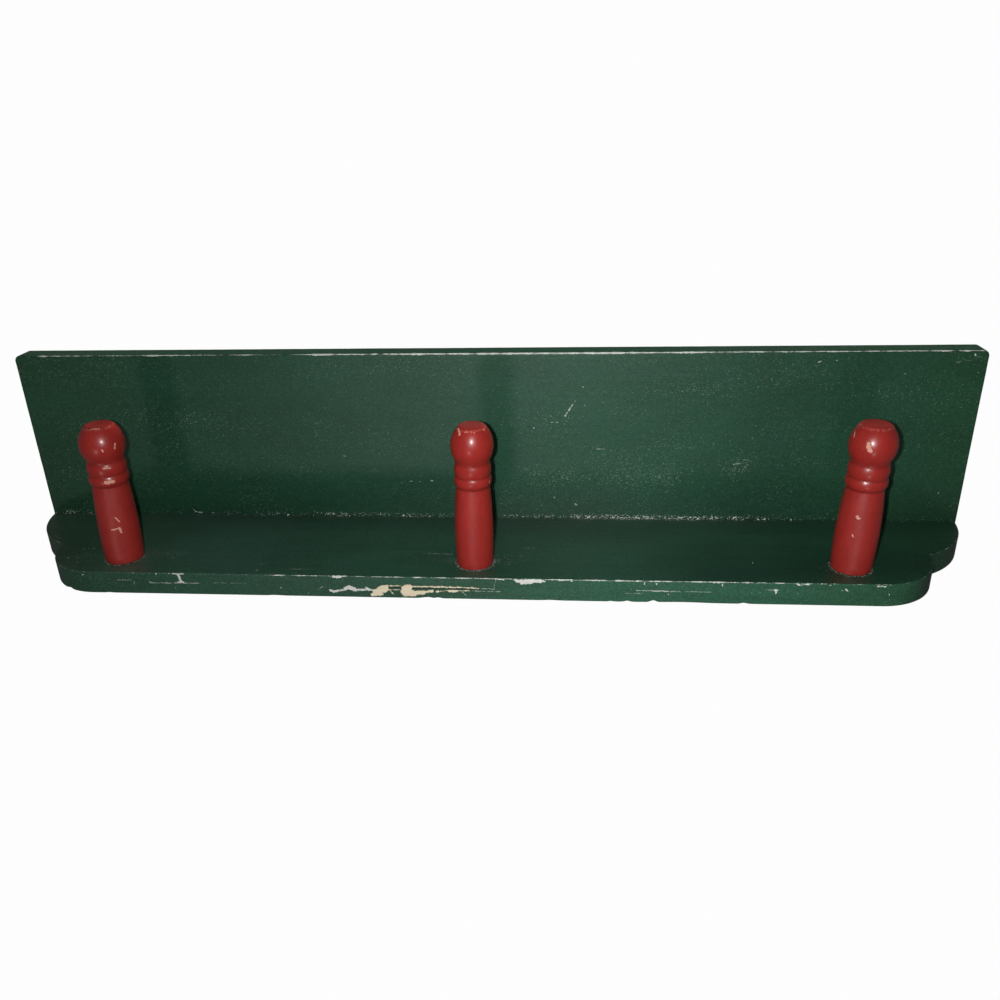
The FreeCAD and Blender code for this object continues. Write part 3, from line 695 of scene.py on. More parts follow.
def peg_points():
    """The profile's points, radius and length from the rail's face, tenon first."""
    points = []
    for index, (start, crown) in enumerate(PEG_PROFILE):
        if crown is None:
            points.append(start)
        else:
            points += three_point_arc(start, crown, PEG_PROFILE[index + 1][0], 24)
    return points


def on_peg(node, reach, turn):
    """A place on a peg's enamel, in millimetres, so far out and so many degrees round."""
    right, up, belly, girth = PEGS[node]
    radius = along_line([(-length, radius) for radius, length in peg_points()], reach) * girth
    if reach < BELLY_REACH:
        radius += belly * math.sin(math.pi * reach / BELLY_REACH)
    x, _, z = (value / MM for value in middle_of(node))
    x += right * reach / PEG_LENGTH + radius * math.sin(math.radians(turn))
    z += up * reach / PEG_LENGTH - radius * math.cos(math.radians(turn))
    return x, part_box("peg_rail")[0].y / MM - reach, z


def peg_profile_object(name):
    """The profile as a chain of edges, radius along X and length along Y from the peg's base."""
    points = peg_points()
    data = bpy.data.meshes.new(name)
    data.from_pydata([(x * MM, y * MM, 0) for x, y in points],
                     [(index, index + 1) for index in range(len(points) - 1)], [])
    return place_object(name, data)


def turning_tree():
    """Turns a profile round the Y axis, with a lean, a fuller belly and a wobble."""
    tree, add, given = new_group(
        "Turned peg", "GeometryNodeTree",
        {"Profile": "Geometry", "Rings": "Int", "Segments": "Int", "Base": "Vector",
         "Lean": "Vector", "Girth": "Float", "Belly": "Float", "Wobble": "Float",
         "Seed": "Float", "Material": "Material"}, {"Geometry": "Geometry"})
    grid = add("GeometryNodeMeshGrid", {"Vertices X": given["Segments"],
                                        "Vertices Y": given["Rings"]})
    across, along, _ = add("SeparateXYZ", add("GeometryNodeInputPosition")).node.outputs
    turn = add("Math MULTIPLY", across, -2 * math.pi)
    curve = add("GeometryNodeMeshToCurve", given["Profile"])
    share = add("Math ADD", along, 0.5)
    sample = add("GeometryNodeSampleCurve", {"Curves": curve, "Factor": share}, mode="FACTOR")
    radius, reach, _ = add("SeparateXYZ", sample.node.outputs["Position"]).node.outputs
    cosine = add("Math COSINE", turn)
    sine = add("Math SINE", turn)
    spoke = add("CombineXYZ", cosine, 0, sine)

    # The wobble grows from the axis and stops at the rail's face, so poles and tenon stay true.
    waves = add("CombineXYZ", cosine, add("Math MULTIPLY", reach, 60), sine)
    uneven = add("TexNoise", {"Vector": waves, "W": given["Seed"], "Scale": 1.7, "Detail": 2},
                 noise_dimensions="4D")
    swing = add("Math MULTIPLY", add("MapRange", uneven, 0, 1, -1, 1), given["Wobble"])
    outside = add("Math LESS_THAN", reach, -0.4 * MM)
    fade = add("Math MULTIPLY", add("MapRange", radius, 0, 6.5 * MM), outside)
    grown = add("Math MULTIPLY", radius, given["Girth"])
    outer = add("MapRange", outside, 0, 1, radius, grown)
    outer = add("Math MULTIPLY_ADD", swing, fade, outer)

    # The fuller belly is half a sine wave over the shaft.
    hump = add("Math SINE", add("MapRange", reach, 0, -BELLY_REACH * MM, 0, math.pi))
    outer = add("Math MULTIPLY_ADD", hump, given["Belly"], outer)

    moved = add("VectorMath SCALE", spoke, outer)
    drift = add("VectorMath SCALE", given["Lean"], add("Math MINIMUM", reach, 0))
    axis = add("VectorMath ADD", given["Base"], add("CombineXYZ", 0, reach, 0))
    for shift in (drift, axis):
        moved = add("VectorMath ADD", moved, shift)
    shaped = add("GeometryNodeSetPosition", {"Geometry": grid, "Position": moved})
    closed = add("GeometryNodeMergeByDistance", {"Geometry": shaped, "Distance": 2e-6})
    real = add("GeometryNodeRealizeInstances", closed)
    add("NodeGroupOutput", add("GeometryNodeSetMaterial", {"Geometry": real,
                                                           "Material": given["Material"]}))
    return tree


def give_inputs(modifier, **values):
    """Set a node modifier's inputs by the names of their sockets."""
    for item in modifier.node_group.interface.items_tree:
        key = item.name.replace(" ", "_").lower()
        if item.item_type == "SOCKET" and item.in_out == "INPUT" and key in values:
            modifier[item.identifier] = values[key]


def recalculate(piece):
    """Merge what coincides and point every face outwards."""
    mesh = bmesh.new()
    mesh.from_mesh(piece.data)
    bmesh.ops.remove_doubles(mesh, verts=mesh.verts, dist=1e-6)
    bmesh.ops.recalc_face_normals(mesh, faces=mesh.faces)
    mesh.to_mesh(piece.data)
    mesh.free()


# Materials

def opaque(values, *factors):
    """A colour with its alpha, each channel times its factor if factors are given."""
    return (*(a * b for a, b in zip(values, factors or (1, 1, 1))), 1.0)


def new_material(name):
    """An empty material, what adds its nodes, and the object's own place in millimetres."""
    material = bpy.data.materials.new(name)
    material.use_nodes = True
    material.node_tree.nodes.clear()
    add = partial(add_node, material.node_tree)
    own = add("TexCoord").node.outputs["Object"]
    return material, add, add("VectorMath SCALE", own, PER_METRE)


def pattern_group():
    """Noise whose features have given lengths, in millimetres, along X, Y and Z."""
    name = "Pattern"
    if name in bpy.data.node_groups:
        return bpy.data.node_groups[name]
    tree, add, given = new_group(
        name, "ShaderNodeTree",
        {"Point": "Vector", "Lengths": "Vector", "Detail": "Float", "Seed": "Float"},
        {"Value": "Float", "Color": "Color"})
    scaled = add("VectorMath DIVIDE", given["Point"], given["Lengths"])
    moved = add("VectorMath MULTIPLY_ADD", given["Seed"], (3.1, 5.7, 1.3), scaled)
    result = add("TexNoise", {"Vector": moved, "Scale": 1, "Detail": given["Detail"],
                              "Roughness": 0.6})
    add("NodeGroupOutput", *result.node.outputs)
    return tree


def add_patterns(add, place, table):
    """The noises of a table, by name; the output beside each is the same noise as a colour."""
    group = pattern_group()
    return {name: add("Group", place, lengths, detail, seed, node_tree=group)
            for seed, (name, (lengths, detail)) in enumerate(table.items(), 1)}


def mark_group():
    """Distance from a point to a mark: a line with round ends, less half its width."""
    name = "Mark distance"
    if name in bpy.data.node_groups:
        return bpy.data.node_groups[name]
    tree, add, given = new_group(
        name, "ShaderNodeTree", {"Point": "Vector", "Start": "Vector", "Run": "Vector",
                                 "Slope": "Vector", "Half Width": "Float"},
        {"Distance": "Float"})
    away = add("VectorMath SUBTRACT", given["Point"], given["Start"])
    share = add("Clamp", add("VectorMath DOT_PRODUCT", away, given["Slope"]))
    foot = add("VectorMath SCALE", given["Run"], share)
    gap = add("VectorMath DISTANCE", away, foot)
    add("NodeGroupOutput", add("Math SUBTRACT", gap, given["Half Width"]))
    return tree


def nearest_mark(add, point, marks):
    """The least distance from the point to any of the marks: (start, end, half width)."""
    nearest = 1000.0
    for start, end, half_width in marks:
        run = Vector(end) - Vector(start)
        slope = run / max(run.length_squared, 1e-6)
        mark = add("Group", point, start, run, slope, half_width, node_tree=mark_group())
        nearest = add("Math MINIMUM", nearest, mark)
    return nearest


def torn_place(add, place, ragged, reach):
    """The place moved about by ragged noise, so that no edge drawn with it is ruled."""
    centred = add("VectorMath SUBTRACT", ragged.node.outputs["Color"], (0.5, 0.5, 0.5))
    return add("VectorMath MULTIPLY_ADD", centred, (reach, reach, reach), place)


def on_level(marks, z):
    return [((ax, ay, z), (bx, by, z), half) for ax, ay, bx, by, half in marks]


def on_face(marks, y):
    return [((ax, y, az), (bx, y, bz), half) for ax, az, bx, bz, half in marks]


# Lengths in millimetres along X, Y and Z, and detail. Bristle marks and grit are drawn about
# twice as coarse as real ones, so that they show at the picture's 0.6 mm a pixel.
PAINT_PATTERNS = {
    "cloud": ((70, 45, 45), 2), "lap": ((80, 5, 5), 3), "bristle": ((24, 0.9, 0.9), 2),
    "mottle": ((1.3, 1.1, 1.1), 2), "ragged": ((1.1, 0.9, 0.9), 2), "patch": ((60, 24, 24), 1),
    "grit": ((0.75, 0.6, 0.6), 1), "breaks": ((3.5, 1.5, 1.5), 2), "chalk": ((2.4, 1.8, 1.8), 2),
    "crust": ((1.1, 0.9, 0.9), 2), "clumps": ((9, 6, 6), 2), "lapped": ((16, 10, 10), 3),
}
PINE_PATTERNS = {"fibre": ((60, 0.9, 0.9), 3), "sway": ((90, 30, 30), 2),
                 "stain": ((30, 14, 14), 3)}


def pine_grain(add, place, colours):
    """Flat sawn pine: pale earlywood, darker latewood lines about 4 mm apart, long fibres."""
    seen = add_patterns(add, place, PINE_PATTERNS)
    swayed = add("VectorMath MULTIPLY_ADD", seen["sway"].node.outputs["Color"], (30, 9, 9), place)
    log = add("Mapping", swayed, (0, 26, 22), (0, 0.035, 0.02))
    rings = add("TexWave", {"Vector": log, "Scale": 0.078, "Distortion": 0.5, "Detail": 1},
                wave_type="RINGS", rings_direction="X").node.outputs["Fac"]
    late = add("MapRange", rings, 0.55, 1, 0, 0.62)
    fibre = add("MapRange", seen["fibre"], 0.40, 0.68, 0, 0.45)
    share = add("Math MAXIMUM", late, fibre)
    timber = add("Mix RGBA", share, opaque(colours.wood), opaque(colours.wood, 0.62, 0.45, 0.30))
    stain = add("MapRange", seen["stain"], 0.45, 0.75, 0, 0.35)
    return add("Mix RGBA", stain, timber, opaque(colours.wood, 0.45, 0.40, 0.34)), share


def bare_pine(colours):
    """Pine cut by bit and chisel and never painted: matt, pale, the grain plain to see."""
    material, add, place = new_material("Pine, bored and chiselled, bare")
    timber, grain = pine_grain(add, place, colours)
    bump = add("Bump", {"Strength": 0.6, "Distance": 0.2 * MM, "Height": grain})
    add("OutputMaterial", add("BsdfPrincipled", {
        "Base Color": timber, "Normal": bump, "Roughness": 0.82, "IOR": 1.5}))
    return material


def painted_pine(name, colours, marks, tint, streaks, lap_z):
    """Alkyd gloss brushed on pine by hand and worn dull: soft laps, mottle, pale chips.

    The brush leaves faint streaks along the board that catch the light. Where the film is gone a
    chalky undercoat shows with a ragged edge, and in the deepest chips bare pine. The back is
    bare but for paint that lapped round its edges.
    """
    material, add, place = new_material(name)
    x, y, z = add("SeparateXYZ", place).node.outputs
    seen = add_patterns(add, place, PAINT_PATTERNS)
    span = add("Math ABSOLUTE", x)

    # The film's greens, times the board's tint, which is painted light that makes one board
    # lighter than the other; a little yellower towards the ends.
    tones = add("CombineXYZ", seen["cloud"], seen["lap"], seen["mottle"])
    tone = add("VectorMath DOT_PRODUCT", tones, (0.9, streaks, 2.2))
    middle = (0.9 + streaks + 2.2) / 2
    share = add("MapRange", tone, middle - 0.38, middle + 0.38)
    film = add("Mix RGBA", share, opaque(colours.green_deep, *tint), opaque(colours.green, *tint))
    aged = add("MapRange", span, 190, 300, 0, 0.5)
    film = add("Mix RGBA", aged, film, opaque((1.15, 1, 0.70)), blend_type="MULTIPLY")

    # The rail's lower edge, lighter on its right half: painted light.
    low = add("MapRange", z, FOOT + 0.3, -50, 1, 0)
    off_face = add("MapRange", y, FACE + 0.05, FACE + 0.5)
    low = add("Math MULTIPLY", low, off_face)
    edge_light = add("Math MULTIPLY", add("MapRange", x, -60, 130), low)
    film = add("Mix RGBA", edge_light, film, opaque((1.35, 1.42, 1.32)), blend_type="MULTIPLY")

    # The rail's face, lighter and greyer towards the left: painted light, as if lit more from that
    # side.
    rail = add("Math SUBTRACT", add("Math LESS_THAN", z, UNDERSIDE - 0.1), low)
    left_light = add("Math MULTIPLY", add("MapRange", x, -180, -10, 1, 0), rail)
    film = add("Mix RGBA", left_light, film, opaque((2.1, 1.38, 1.6)), blend_type="MULTIPLY")

    # Pale specks of dust and pinholes all over, thicker in patches.
    dust = add("MapRange", nearest_mark(add, place, DUSTY), -6, 6, 0.705, 0.80)
    level = add("Math MULTIPLY_ADD", seen["patch"], -0.20, dust)
    specks = add("MapRange", add("Math SUBTRACT", seen["grit"], level), 0, 0.05, 0, 0.50)
    film = add("Mix RGBA", specks, film, opaque(colours.cream, 0.50, 0.64, 0.56))

    # Chips, scratches, bare wood and painted gouge shadows, each from its table of marks.
    waved = torn_place(add, place, seen["ragged"], 1.2)
    torn = torn_place(add, place, seen["ragged"], 1.8)
    masks = {}
    for kind, point, outer, top in (("scratches", waved, 0.12, 0.75), ("chips", torn, 0.20, 1),
                                    ("wood", torn, 0.20, 1), ("gouge_shadows", waved, 0.20, 0.75)):
        near = nearest_mark(add, point, marks.get(kind, ()))
        masks[kind] = add("MapRange", near, -0.10, outer, top, 0, interpolation_type="SMOOTHSTEP")
    breaks = add("MapRange", seen["breaks"], 0.40, 0.54)
    masks["scratches"] = add("Math MULTIPLY", masks["scratches"], breaks)

    # The arrises, rubbed through to the undercoat.
    wear = add("Attribute", attribute_name="wear").node.outputs["Fac"]
    wear = add("Math MULTIPLY_ADD", seen["ragged"], 0.9, wear)
    masks["worn"] = add("MapRange", wear, 0.52, 0.66, 0, 0.95)

    # Painted shade in the joint of shelf and rail, a dark crack line along it, and pale crumbs of
    # old filler.
    joint = add("VectorMath DISTANCE", add("CombineXYZ", 0, y, z), (0, FACE, UNDERSIDE))
    below = add("MapRange", z, UNDERSIDE + 0.2, UNDERSIDE + 0.8, 1, 0)
    share = add("Math MULTIPLY_ADD", x, 1 / SHELF_LENGTH, 0.5)
    thickness = add("FloatCurve", {"Value": share})
    line = thickness.node.mapping.curves[0]
    line.points[0].location = JOINT_LINE[0]
    line.points[1].location = JOINT_LINE[-1]
    for point in JOINT_LINE[1:-1]:
        line.points.new(*point)
    thickness.node.mapping.update()
    level = add("Math MULTIPLY_ADD", thickness, -0.20, 0.90)
    level = add("Math MULTIPLY_ADD", seen["clumps"], -0.26, level)
    crumbs = add("MapRange", add("Math SUBTRACT", seen["crust"], level), 0, 0.03)
    near = add("Math MULTIPLY", add("MapRange", joint, 0.8, 3, 1, 0), below)
    masks["crumbs"] = add("Math MULTIPLY", crumbs, near)
    # Painted shade: the paint darkens over 30 mm towards the joint, where shade falls between the
    # boards.
    soft = add("MapRange", joint, 1.5, 30, 0.38, 0)
    crack = add("MapRange", joint, 0.25, 0.7, 0.6, 0)
    joint_shade_and_crack = add("Math MULTIPLY", add("Math MAXIMUM", soft, crack), below)

    # A dark ring where each peg meets the rail, painted shade with some dirt, and crumbs of
    # undercoat.
    wrapped = add("Math WRAP", x, PEG_SPACING / 2, -PEG_SPACING / 2)
    around = add("CombineXYZ", wrapped, 0, z)
    off_axis = add("VectorMath DISTANCE", around, (0, 0, PEG_AXIS))
    ring = add("Math ABSOLUTE", add("Math SUBTRACT", off_axis, 11.7))
    front = add("MapRange", y, FACE + 0.1, FACE + 0.3, 1, 0)
    bits = add("MapRange", seen["crust"], 0.50, 0.60, 0, 0.6)
    near = add("Math MULTIPLY", add("MapRange", ring, 0.3, 1.1, 1, 0), front)
    masks["ring"] = add("Math MULTIPLY", near, bits)
    # Painted shade, partly dirt: the face darkens in a ring round each peg's foot.
    peg_ring_dirt_and_shade = add("Math MULTIPLY", add("MapRange", ring, 0, 1.8, 0.55, 0), front)

    # The back, where paint only laps round the edges.
    inner = add("Math MINIMUM", add("Math SUBTRACT", z, lap_z), add("Math SUBTRACT", 280, span))
    inner = add("Math MULTIPLY_ADD", seen["lapped"], 16, inner)
    inner = add("MapRange", inner, 8, 8.8)
    raw = add("Math MULTIPLY", inner, add("MapRange", y, -0.10, -0.03))
    raw = add("Math MAXIMUM", raw, masks["wood"])

    # Painted shade: the face's darker patches, the soft shade by the joint and the ring round each
    # peg darken the film.
    face_patch_shade = add("MapRange", nearest_mark(add, place, SHADED_PATCHES), -8, 36, 0.58, 0)
    shade = add("Math MAXIMUM", add("Math MULTIPLY", face_patch_shade, rail), joint_shade_and_crack)
    shade = add("Math MAXIMUM", shade, peg_ring_dirt_and_shade)
    film = add("Mix RGBA", shade, film, SHADE, blend_type="MULTIPLY")

    undercoat = masks["worn"]
    for kind in ("scratches", "chips", "crumbs", "ring"):
        undercoat = add("Math MAXIMUM", undercoat, masks[kind])
    chalk = add("MapRange", seen["chalk"], 0.35, 0.62, 0, 0.28)
    chalk = add("Mix RGBA", chalk, opaque(colours.cream), opaque(colours.cream, 0.62, 0.62, 0.60))
    surface = add("Mix RGBA", undercoat, film, chalk)
    timber, grain = pine_grain(add, place, colours)
    surface = add("Mix RGBA", raw, surface, timber)
    fresh = add("Mix RGBA", grain, opaque(colours.wood, 1.33, 1.62, 2.05),
                opaque(colours.wood, 1.18, 1.32, 1.55))
    surface = add("Mix RGBA", masks["wood"], surface, fresh)
    # Painted shadow: the gouges are darkened on the flat edge, with no groove cut.
    surface = add("Mix RGBA", masks["gouge_shadows"], surface, SHADE, blend_type="MULTIPLY")

    gone = add("Math MAXIMUM", undercoat, raw)
    gloss = add("Math MULTIPLY_ADD", seen["bristle"], 0.15, 0.34)
    rough = add("Mix FLOAT", add("Math MAXIMUM", gone, peg_ring_dirt_and_shade), gloss, 0.82)

    # Film 0.1 mm thick over the wood, with the brush's ridges and the grain telegraphing through.
    ridges = add("CombineXYZ", seen["bristle"], seen["lap"], seen["grit"])
    height = add("VectorMath DOT_PRODUCT", ridges, (0.06, 0.10, 0.03))
    height = add("Math MULTIPLY_ADD", gone, -0.12, height)
    height = add("Math MULTIPLY_ADD", grain, -0.03, height)
    bump = add("Bump", {"Strength": 0.75, "Distance": MM, "Height": height})
    add("OutputMaterial", add("BsdfPrincipled", {
        "Base Color": surface, "Normal": bump, "Roughness": rough, "IOR": 1.48}))
    return material


ENAMEL_PATTERNS = {"flow": ((7, 16, 7), 3), "peel": ((2.2, 2.2, 2.2), 2),
                   "grit": ((0.6, 0.6, 0.6), 1), "ragged": ((1.2, 1.2, 1.2), 2)}

# Places along a peg, in millimetres from the rail's face, where enamel pooled or wore off.
POOLS = ((0, 2.4), (51.4, 1.7), (57.9, 1.2), (66.2, 2), (88.3, 0.7))
RIM = (87, 0.8)


def peg_enamel(colours):
    """Barn red oil enamel flowed on turned maple: glossy and thick, pooled in the grooves.

    The film is smooth enough to show a lamp as a soft spot, with slight orange peel.
    """
    material, add, place = new_material("Barn red enamel, flowed on turned maple")
    _, y, _ = add("SeparateXYZ", place).node.outputs
    seen = add_patterns(add, place, ENAMEL_PATTERNS)
    tone = add("Math MULTIPLY_ADD", seen["peel"], 0.35, seen["flow"])
    share = add("MapRange", tone, 0.42, 0.90)
    film = add("Mix RGBA", share, opaque(colours.red, 0.80, 0.75, 0.75), opaque(colours.red))
    reach = add("Math SUBTRACT", FACE, y)
    for middle, half in POOLS:
        off = add("Math ABSOLUTE", add("Math SUBTRACT", reach, middle))
        film = add("Mix RGBA", add("MapRange", off, 0, half, 0.5, 0), film,
                   opaque(colours.red_deep))
    rim = add("Math ABSOLUTE", add("Math SUBTRACT", reach, RIM[0]))
    rim = add("MapRange", rim, 0.1, RIM[1], 1, 0)
    rim = add("Math MULTIPLY", rim, add("MapRange", seen["ragged"], 0.42, 0.62, 0, 0.30))
    specks = add("MapRange", seen["grit"], 0.74, 0.80, 0, 0.30)
    torn = torn_place(add, place, seen["ragged"], 1.6)
    chips = nearest_mark(add, torn, [(on_peg(node, *start), on_peg(node, *end), half_width)
                                     for node, start, end, half_width in PEG_CHIPS])
    chips = add("MapRange", chips, -0.10, 0.22, 0.9, 0, interpolation_type="SMOOTHSTEP")
    for bare in (specks, rim, chips):
        film = add("Mix RGBA", bare, film, opaque(colours.primer))
    shank = add("MapRange", reach, 46, 54, 1, 0)
    gloss = add("Math MULTIPLY_ADD", seen["peel"], 0.10, 0.31)
    gloss = add("Math MULTIPLY_ADD", shank, 0.10, gloss)
    coat = add("Math MULTIPLY_ADD", shank, 0.24, 0.20)
    height = add("Math MULTIPLY_ADD", seen["peel"], 0.25, seen["flow"])
    height = add("Math MULTIPLY_ADD", chips, -0.6, height)
    bump = add("Bump", {"Strength": 0.5, "Distance": 0.2 * MM, "Height": height})
    add("OutputMaterial", add("BsdfPrincipled", {
        "Base Color": film, "Normal": bump, "Roughness": add("Mix FLOAT", chips, gloss, 0.75),
        "IOR": 1.5, "Coat Weight": 0.30, "Coat Roughness": coat}))
    return material


def zinc_steel(name, tint, streak):
    """Mild steel under bright zinc: pale blue-grey, dull spots, faint streaks as it was worked."""
    material, add, place = new_material(name)
    seen = add_patterns(add, place, {"drawn": (streak, 3), "spots": ((1.8, 1.8, 1.8), 3)})
    dull = add("MapRange", seen["spots"], 0.48, 0.68, 0, 0.6)
    surface = add("Mix RGBA", dull, opaque(tint), opaque(tint, 0.62, 0.58, 0.52))
    rough = add("Math MULTIPLY_ADD", seen["drawn"], 0.25, 0.24)
    rough = add("Math MULTIPLY_ADD", dull, 0.2, rough)
    height = add("Math ADD", seen["drawn"], seen["spots"])
    bump = add("Bump", {"Strength": 0.5, "Distance": 0.02 * MM, "Height": height})
    add("OutputMaterial", add("BsdfPrincipled", {
        "Base Color": surface, "Normal": bump, "Roughness": rough, "Metallic": 1}))
    return material


def dress_node(name, material):
    """Give a node that keeps its shape its finished material."""
    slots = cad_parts[name].data.materials
    slots.clear()
    slots.append(material)


# Operators

class PEGRAIL_OT_shelf(bpy.types.Operator):
    """Make the painted shelf board with its worn edges, and paint the plugs over its screws"""
    bl_idname = "pegrail.shelf"
    bl_label = "Shelf and plugs"

    def execute(self, context):
        settings = context.scene.peg_rail
        scratches = on_level(UNDER_SCRATCHES, UNDERSIDE) + on_level(TOP_SCRATCHES, SHELF_TOP)
        # Painted light: the tint darkens this green on the shelf, as its underside is lit more
        # dimly.
        paint = painted_pine("Dark green alkyd paint, brushed, on the shelf", settings.colours,
                             {"scratches": scratches}, (0.80, 0.90, 0.86), 0.25, 23)
        piece = make_shelf_mesh(settings.boards, paint, bare_pine(settings.colours))
        finish_piece(piece, "shelf_paint", "shelf_board")
        for index in range(1, 5):
            dress_node(f"screw_plug_{index}", paint)
        return {"FINISHED"}


class PEGRAIL_OT_rail(bpy.types.Operator):
    """Make the painted wall rail with its lobes, bruises, bores and hollows"""
    bl_idname = "pegrail.rail"
    bl_label = "Wall rail"

    def execute(self, context):
        settings = context.scene.peg_rail
        marks = {"scratches": on_level(EDGE_SCRATCHES, FOOT) + on_face(FACE_SCRATCHES, FACE),
                 "chips": on_level(EDGE_CHIPS, FOOT), "wood": on_level(EDGE_WOOD, FOOT),
                 "gouge_shadows": on_level(EDGE_GOUGE_SHADOWS, FOOT)}
        # Painted light: the tint lightens and greys this green on the rail, standing for its
        # brighter light and sheen.
        paint = painted_pine("Dark green alkyd paint, brushed and chipped, on the rail",
                             settings.colours, marks, (1.30, 1.08, 1.15), 0.60, -55)
        piece = make_rail_mesh(settings.boards, paint, bare_pine(settings.colours))
        finish_piece(piece, "rail_paint", "peg_rail")
        return {"FINISHED"}


class PEGRAIL_OT_pegs(bpy.types.Operator):
    """Turn the three pegs from one profile"""
    bl_idname = "pegrail.pegs"
    bl_label = "Pegs"

    def execute(self, context):
        settings = context.scene.peg_rail
        enamel = peg_enamel(settings.colours)
        tree = turning_tree()
        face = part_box("peg_rail")[0].y
        for index, (node, (right, up, belly, girth)) in enumerate(PEGS.items()):
            middle = middle_of(node)
            piece = peg_profile_object(f"{node}_enamelled")
            turning = piece.modifiers.new("turning", "NODES")
            turning.node_group = tree
            give_inputs(turning, rings=settings.pegs.rings, segments=settings.pegs.segments + 1,
                        base=(middle[0], face, middle[2]),
                        lean=(-right / PEG_LENGTH, 0.0, -up / PEG_LENGTH), girth=girth,
                        belly=belly * MM, wobble=settings.pegs.wobble, seed=3.7 * (index + 1),
                        material=enamel)
            bake(piece)
            recalculate(piece)
            finish_piece(piece, "peg_enamel", node)
        return {"FINISHED"}


class PEGRAIL_OT_steel(bpy.types.Operator):
    """Finish the keyhole plates and all screws in zinc plated steel"""
    bl_idname = "pegrail.steel"
    bl_label = "Plates and screws"

    def execute(self, context):
        zinc = context.scene.peg_rail.colours.zinc
        plate = zinc_steel("Zinc plated sheet steel, stamped", zinc, (1.2, 1.2, 26))
        screw = zinc_steel("Zinc plated screw steel, rolled", opaque(zinc, 0.86, 0.85, 0.82),
                           (3, 3, 3))
        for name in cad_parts:
            if name.startswith(("shelf_screw", "hanger_screw")):
                dress_node(name, screw)
            elif name.startswith("hanger"):
                dress_node(name, plate)
        return {"FINISHED"}


class PEGRAIL_OT_stage(bpy.types.Operator):
    """Lay the floor and backdrop, and place the camera and the lamps"""
    bl_idname = "pegrail.stage"
    bl_label = "Stage"

    def execute(self, context):
        settings = context.scene.peg_rail.stage
        make_floor(settings)
        make_backdrop()
        make_camera(context)
        make_lamps(settings)
        context.scene.view_settings.view_transform = "Standard"
        context.scene.view_settings.look = "None"
        return {"FINISHED"}


# Stage

def stage_piece(name, mesh, material):
    """A piece of the stage that only the camera sees, so it neither shades nor tints."""
    piece = link_piece(name, mesh, material)
    for ray in ("diffuse", "glossy", "shadow", "transmission"):
        setattr(piece, f"visible_{ray}", False)


def make_floor(settings):
    """A wide pale floor of matt plaster, far below the object."""
    mesh = bmesh.new()
    bmesh.ops.create_grid(mesh, x_segments=24, y_segments=24, size=9.0)
    bmesh.ops.translate(mesh, verts=mesh.verts, vec=(0, 0, -settings.floor_drop))
    material, add, place = new_material("Pale floor, matt plaster")
    cloud = add_patterns(add, place, {"cloud": ((900, 900, 900), 3)})["cloud"]
    surface = add("Mix RGBA", add("MapRange", cloud, 0.3, 0.7), opaque(linear("BFCCCE")),
                  opaque(linear("C7D3D4")))
    add("OutputMaterial", add("BsdfPrincipled", {"Base Color": surface, "Roughness": 0.85}))
    stage_piece("floor", mesh, material)


def make_backdrop():
    """A white cyclorama all round, evenly bright."""
    mesh = bmesh.new()
    bmesh.ops.create_uvsphere(mesh, u_segments=64, v_segments=32, radius=11.0)
    bmesh.ops.reverse_faces(mesh, faces=mesh.faces)
    material, add, _ = new_material("White cyclorama")
    add("OutputMaterial", add("Emission", (1, 1, 1, 1), 0.985))
    stage_piece("backdrop", mesh, material)


CAMERA_PLACE = (0.0607, -0.2684, -0.5135)
CAMERA_TURN = (155.61, -4.67, 1.60)
CAMERA_LENS = 31.74


def make_camera(context):
    """The camera stands in front of the rail and below it, as in the photograph."""
    data = bpy.data.cameras.new("camera")
    data.sensor_width = 36.0
    data.lens = CAMERA_LENS
    data.clip_start = 0.01
    data.clip_end = 60.0
    camera = place_object("camera", data)
    camera.location = CAMERA_PLACE
    camera.rotation_euler = [math.radians(angle) for angle in CAMERA_TURN]
    context.scene.camera = camera


def add_lamp(name, kind, energy, place, towards, **settings):
    """A lamp at a place that shines towards another."""
    data = bpy.data.lights.new(name, kind)
    data.energy = energy
    for key, value in settings.items():
        setattr(data, key, value)
    lamp = place_object(name, data)
    lamp.location = place
    lamp.rotation_euler = (Vector(towards) - place).to_track_quat("-Z", "Y").to_euler()
    return lamp


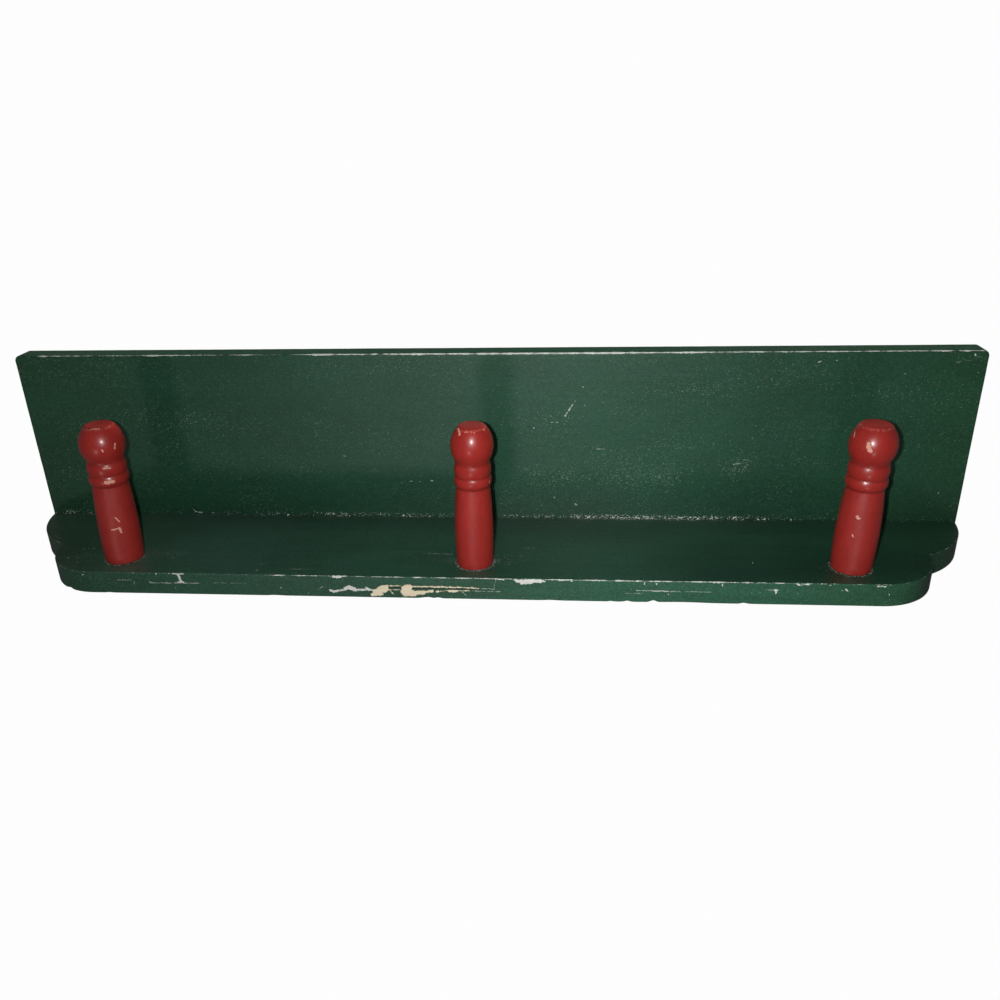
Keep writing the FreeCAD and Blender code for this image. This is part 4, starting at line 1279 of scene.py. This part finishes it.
def make_lamps(settings):
    """A small lamp beside the lens, soft light from below and from above, and an even sky."""
    offset = Vector((-0.021, 0, 0))
    offset.rotate(Euler([math.radians(angle) for angle in CAMERA_TURN]))
    beside, aim, size = Vector(CAMERA_PLACE) + offset, (0.095, -0.075, 0.020), 5 * MM
    add_lamp("wide", "POINT", settings.lamp_wide, beside, aim, shadow_soft_size=size)
    for name, energy, cone in (("middle", settings.lamp_middle, 54),
                               ("core", settings.lamp_core, 20)):
        add_lamp(name, "SPOT", energy, beside, aim, shadow_soft_size=size,
                 spot_size=math.radians(cone), spot_blend=1.0)
    for name, energy, place, angle, tone in (
            ("low", settings.low_sun, (-0.15, 0.4, -1), 8, (1, 1, 1)),
            ("overhead", settings.top_sun, (0.25, -0.42, 1), 12, (1, 0.80, 0.76)),
            ("back", settings.back_sun, (-0.2, 1, 0.4), 30, (1, 1, 1))):
        sun = add_lamp(name, "SUN", energy, Vector(place), (0, 0, 0),
                       angle=math.radians(angle), color=tone)
        sun.visible_glossy = name != "overhead"
    world = bpy.data.worlds.new("sky")
    bpy.context.scene.world = world
    world.use_nodes = True
    background = world.node_tree.nodes["Background"]
    background.inputs[0].default_value = (1, 1, 1, 1)
    background.inputs[1].default_value = settings.sky


class PEGRAIL_PT_panel(bpy.types.Panel):
    """Settings and steps of the peg rail"""
    bl_idname = "PEGRAIL_PT_panel"
    bl_label = "Peg rail"
    bl_space_type = "VIEW_3D"
    bl_region_type = "UI"
    bl_category = "Peg rail"

    def draw(self, context):
        settings = context.scene.peg_rail
        for group in (settings.boards, settings.pegs, settings.colours, settings.stage):
            box = self.layout.box()
            for name in group.__annotations__:
                box.prop(group, name)
        for operator in OPERATORS:
            self.layout.operator(operator.bl_idname)


GROUPS = (PegRailBoards, PegRailPegs, PegRailColours, PegRailStage, PegRailSettings)
OPERATORS = (PEGRAIL_OT_shelf, PEGRAIL_OT_rail, PEGRAIL_OT_pegs, PEGRAIL_OT_steel,
             PEGRAIL_OT_stage)


def register():
    for item in (*GROUPS, *OPERATORS, PEGRAIL_PT_panel):
        bpy.utils.register_class(item)
    bpy.types.Scene.peg_rail = PointerProperty(type=PegRailSettings)


def unregister():
    del bpy.types.Scene.peg_rail
    for item in reversed((*GROUPS, *OPERATORS, PEGRAIL_PT_panel)):
        bpy.utils.unregister_class(item)


def main():
    register()
    bpy.ops.pegrail.shelf()
    bpy.ops.pegrail.rail()
    bpy.ops.pegrail.pegs()
    bpy.ops.pegrail.steel()
    bpy.ops.pegrail.stage()


if __name__ == "__main__":
    main()
